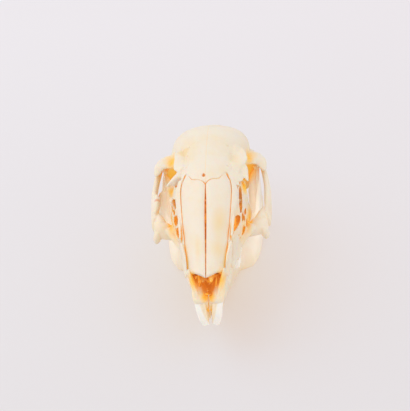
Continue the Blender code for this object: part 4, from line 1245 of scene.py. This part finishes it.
class SkullLook(bpy.types.PropertyGroup):
    """Colours of the bone, teeth and table."""
    bone: colour_setting("Bone", "Colour of open, clean bone", (0.91, 0.80, 0.62))
    yellow: colour_setting("Yellow patches", "Colour of the pale yellow patches", (0.93, 0.72, 0.40))
    # Tan, amber and deep are painted shade where bone is shut in or holed; amber is also painted light in
    # thin bone.
    tan: colour_setting("Tan", "Colour along seams and in shallow pits", (0.84, 0.64, 0.34))
    amber: colour_setting("Amber", "Colour where bone is thin or shut in", (0.90, 0.51, 0.06))
    deep: colour_setting("Deep holes", "Colour at the bottom of deep holes", (0.62, 0.19, 0.02))
    enamel: colour_setting("Enamel", "Colour of the teeth", (0.96, 0.92, 0.81))
    table_far: colour_setting("Table, far", "Colour of the table behind the skull", (0.20, 0.40, 0.50))
    table_near: colour_setting("Table, near", "Colour of the table before the skull", (0.16, 0.36, 0.50))
    table_glow_far: colour_setting("Table glow, far", "Light from the table behind the skull",
                                   (0.617, 0.387, 0.287))
    table_glow_near: colour_setting("Table glow, near", "Light from the table before the skull",
                                    (0.605, 0.375, 0.223))


class SkullShape(bpy.types.PropertyGroup):
    """How finely the bones are made."""
    voxel: FloatProperty(name="Bone fineness", description="Size in mm of the steps of a bone's skin",
                         default=0.3, min=0.15, max=1.0)
    window_voxel: FloatProperty(name="Snout fineness", description="The same for the snout and cheek arches",
                                default=0.22, min=0.12, max=1.0)


class SkullStage(bpy.types.PropertyGroup):
    """Where the camera stands and how bright the light is."""
    azimuth: angle_setting("Azimuth", "How far the camera stands to the skull's left of its front", 6.1)
    elevation: angle_setting("Elevation", "Height of the camera above the table's plane", 41.4)
    roll: angle_setting("Roll", "Turn of the picture, anticlockwise", 6.9)
    distance: FloatProperty(name="Distance", description="From the camera to the middle of the skull",
                            unit="LENGTH", default=0.5)
    table_size: FloatProperty(name="Table size", description="Length of the table's side", unit="LENGTH",
                              default=3.0)
    key_power: FloatProperty(name="Window light", description="Power of the large light from the upper left",
                             unit="POWER", default=1.3)
    fill_power: FloatProperty(name="Fill light", description="Power of the weak light from the right",
                              unit="POWER", default=0.5)


# Operators

class SKULL_OT_cranium(bpy.types.Operator):
    """Build the back of the skull"""
    bl_idname = "skull.cranium"
    bl_label = "Braincase and brow"

    def execute(self, context):
        obj = make_cranium(context.scene.skull_shape.voxel)
        finish(obj, bone(), "bone", *CRANIUM_NODES)
        return {"FINISHED"}


class SKULL_OT_nose(bpy.types.Operator):
    """Build the two nose bones and the scrolls inside the nose"""
    bl_idname = "skull.nose"
    bl_label = "Nose bones"

    def execute(self, context):
        for side, word in SIDES.items():
            obj = mesh_from(f"nasal_{word}", *nasal_form())
            write_points(obj.data, in_relief(obj.data, nasal_relief))
            if side < 0:
                turn_over(obj)
            finish(obj, bone(), "bone", f"nasal_{word}")
        scrolls = mesh_from("nose_scrolls", *stacked(nose_scrolls()))
        finish(scrolls, material("thin_bone", scroll_paint), "bone")
        return {"FINISHED"}


class SKULL_OT_snout(bpy.types.Operator):
    """Build the premaxillae and the windowed maxillae"""
    bl_idname = "skull.snout"
    bl_label = "Sides of the snout"

    def execute(self, context):
        voxel = context.scene.skull_shape.window_voxel
        for side in SIDES:
            make_side_piece("premaxilla", side, premaxilla_forms(), voxel, premaxilla_shape,
                            hollows=nose_opening())
            make_side_piece("maxilla", side, maxilla_forms(), voxel, maxilla_shape, wall=lattice_wall(side))
        return {"FINISHED"}


class SKULL_OT_cheeks(bpy.types.Operator):
    """Build the two cheek arches"""
    bl_idname = "skull.cheeks"
    bl_label = "Cheek arches"

    def execute(self, context):
        voxel = context.scene.skull_shape.window_voxel
        for side in SIDES:
            make_side_piece("jugal", side, jugal_forms(side), voxel, relief=jugal_relief,
                            hollows=arch_pit(side))
        return {"FINISHED"}


class SKULL_OT_jaw(bpy.types.Operator):
    """Build the lower jaw"""
    bl_idname = "skull.jaw"
    bl_label = "Lower jaw"

    def execute(self, context):
        for side in SIDES:
            make_side_piece("mandible", side, mandible_forms(side), context.scene.skull_shape.voxel,
                            lambda points: mandible_shape(points, side), relief=mandible_relief,
                            look=jaw_bone())
        return {"FINISHED"}


class SKULL_OT_teeth(bpy.types.Operator):
    """Build the incisors and the rows of cheek teeth"""
    bl_idname = "skull.teeth"
    bl_label = "Teeth"

    def execute(self, context):
        for name, forms in (("upper_incisor", upper_incisor_forms), ("lower_incisor", lower_incisor_forms),
                            ("upper_cheek_teeth", upper_row), ("lower_cheek_teeth", lower_row)):
            for side in SIDES:
                make_side_piece(name, side, forms(), TOOTH_VOXEL, rounds=1, relief=tooth_relief,
                                look=material("enamel", tooth_paint), slot="tooth")
        return {"FINISHED"}


# In metres: what the camera and the lights look at. In pixels of the photo: its size, its scale on the skull
# and where the point that the camera looks at is seen.
CAMERA_LOOKS_AT = (0, -0.001, 0.025)
LIGHTS_POINT_AT = (0, 0, 0.02)
FRAME_PIXELS = (410, 411)
PIXELS_PER_MM = 2.89
LOOK_AT_PIXEL = (210.9, 220.4)
SENSOR_MM = 36.0
ROOM_COLOUR = (0.9, 0.92, 1.0, 1.0)
ROOM_STRENGTH = 0.9


def aim(stage):
    """The camera's place and turn for the photo's view of a point 25 mm above the table, under the eyes."""
    side, lift, roll = stage.azimuth, stage.elevation, stage.roll
    right = Vector((math.cos(side), math.sin(side), 0))
    level_ahead = Vector((-math.sin(side), math.cos(side), 0))
    ahead = level_ahead * math.cos(lift) - Vector((0, 0, 1)) * math.sin(lift)
    up = level_ahead * math.sin(lift) + Vector((0, 0, 1)) * math.cos(lift)
    turned_right = right * math.cos(roll) - up * math.sin(roll)
    turned_up = right * math.sin(roll) + up * math.cos(roll)
    matrix = Matrix((turned_right, turned_up, -ahead)).transposed().to_4x4()
    matrix.translation = Vector(CAMERA_LOOKS_AT) - ahead * stage.distance
    return matrix


def area_light(name, power, size, place, tint):
    """A square light that points at the skull."""
    light = bpy.data.lights.new(name, "AREA")
    light.energy = power
    light.size = size
    light.color = tint
    obj = bpy.data.objects.new(name, light)
    obj.location = place
    obj.rotation_euler = (Vector(LIGHTS_POINT_AT) - Vector(place)).to_track_quat("-Z", "Y").to_euler()
    bpy.context.scene.collection.objects.link(obj)


class SKULL_OT_stage(bpy.types.Operator):
    """Build the table, the lights and the camera"""
    bl_idname = "skull.stage"
    bl_label = "Table, light and camera"

    def execute(self, context):
        stage = context.scene.skull_stage
        half = stage.table_size / 2
        mesh = bpy.data.meshes.new("table")
        mesh.from_pydata([(-half, -half, 0), (half, -half, 0), (half, half, 0), (-half, half, 0)], [],
                         [(0, 1, 2, 3)])
        table = bpy.data.objects.new("table", mesh)
        context.scene.collection.objects.link(table)
        mesh.materials.append(material("table", table_paint))
        area_light("window_light", stage.key_power, 0.7, (-0.45, 0.1, 0.6), (1.0, 0.98, 0.95))
        area_light("fill_light", stage.fill_power, 0.6, (0.5, -0.35, 0.45), (1.0, 0.95, 0.9))
        world = bpy.data.worlds.new("room")
        world.use_nodes = True
        world.node_tree.nodes["Background"].inputs["Color"].default_value = ROOM_COLOUR
        world.node_tree.nodes["Background"].inputs["Strength"].default_value = ROOM_STRENGTH
        context.scene.world = world
        context.scene.view_settings.view_transform = "Standard"
        camera = bpy.data.objects.new("camera", bpy.data.cameras.new("camera"))
        context.scene.collection.objects.link(camera)
        camera.matrix_world = aim(stage)
        longest = max(FRAME_PIXELS)
        camera.data.sensor_width = SENSOR_MM
        camera.data.lens = PIXELS_PER_MM * stage.distance / MM / longest * SENSOR_MM
        camera.data.shift_x = -(LOOK_AT_PIXEL[0] - FRAME_PIXELS[0] / 2) / longest
        camera.data.shift_y = (LOOK_AT_PIXEL[1] - FRAME_PIXELS[1] / 2) / longest
        camera.data.clip_start = 0.01
        context.scene.camera = camera
        return {"FINISHED"}


class SKULL_PT_panel(bpy.types.Panel):
    """Lists the skull's settings and its parts"""
    bl_label = "Rabbit skull"
    bl_idname = "SKULL_PT_panel"
    bl_space_type = "VIEW_3D"
    bl_region_type = "UI"
    bl_category = "Skull"

    def draw(self, context):
        for group in (context.scene.skull_shape, context.scene.skull_look, context.scene.skull_stage):
            box = self.layout.box()
            for key in group.__annotations__:
                box.prop(group, key)
        for operator in OPERATORS:
            self.layout.operator(operator.bl_idname)


GROUPS = {"skull_look": SkullLook, "skull_shape": SkullShape, "skull_stage": SkullStage}
OPERATORS = (SKULL_OT_cranium, SKULL_OT_nose, SKULL_OT_snout, SKULL_OT_cheeks, SKULL_OT_jaw, SKULL_OT_teeth,
             SKULL_OT_stage)


def register():
    """Adds the settings, the operators and the panel."""
    for group in GROUPS.values():
        bpy.utils.register_class(group)
    for name, group in GROUPS.items():
        setattr(bpy.types.Scene, name, bpy.props.PointerProperty(type=group))
    for operator in OPERATORS:
        bpy.utils.register_class(operator)
    bpy.utils.register_class(SKULL_PT_panel)


def unregister():
    """Takes them out again."""
    bpy.utils.unregister_class(SKULL_PT_panel)
    for operator in reversed(OPERATORS):
        bpy.utils.unregister_class(operator)
    for name in GROUPS:
        delattr(bpy.types.Scene, name)
    for group in GROUPS.values():
        bpy.utils.unregister_class(group)


def main():
    register()
    for build in (bpy.ops.skull.cranium, bpy.ops.skull.nose, bpy.ops.skull.snout, bpy.ops.skull.cheeks,
                  bpy.ops.skull.jaw, bpy.ops.skull.teeth, bpy.ops.skull.stage):
        build()


if __name__ == "__main__":
    main()
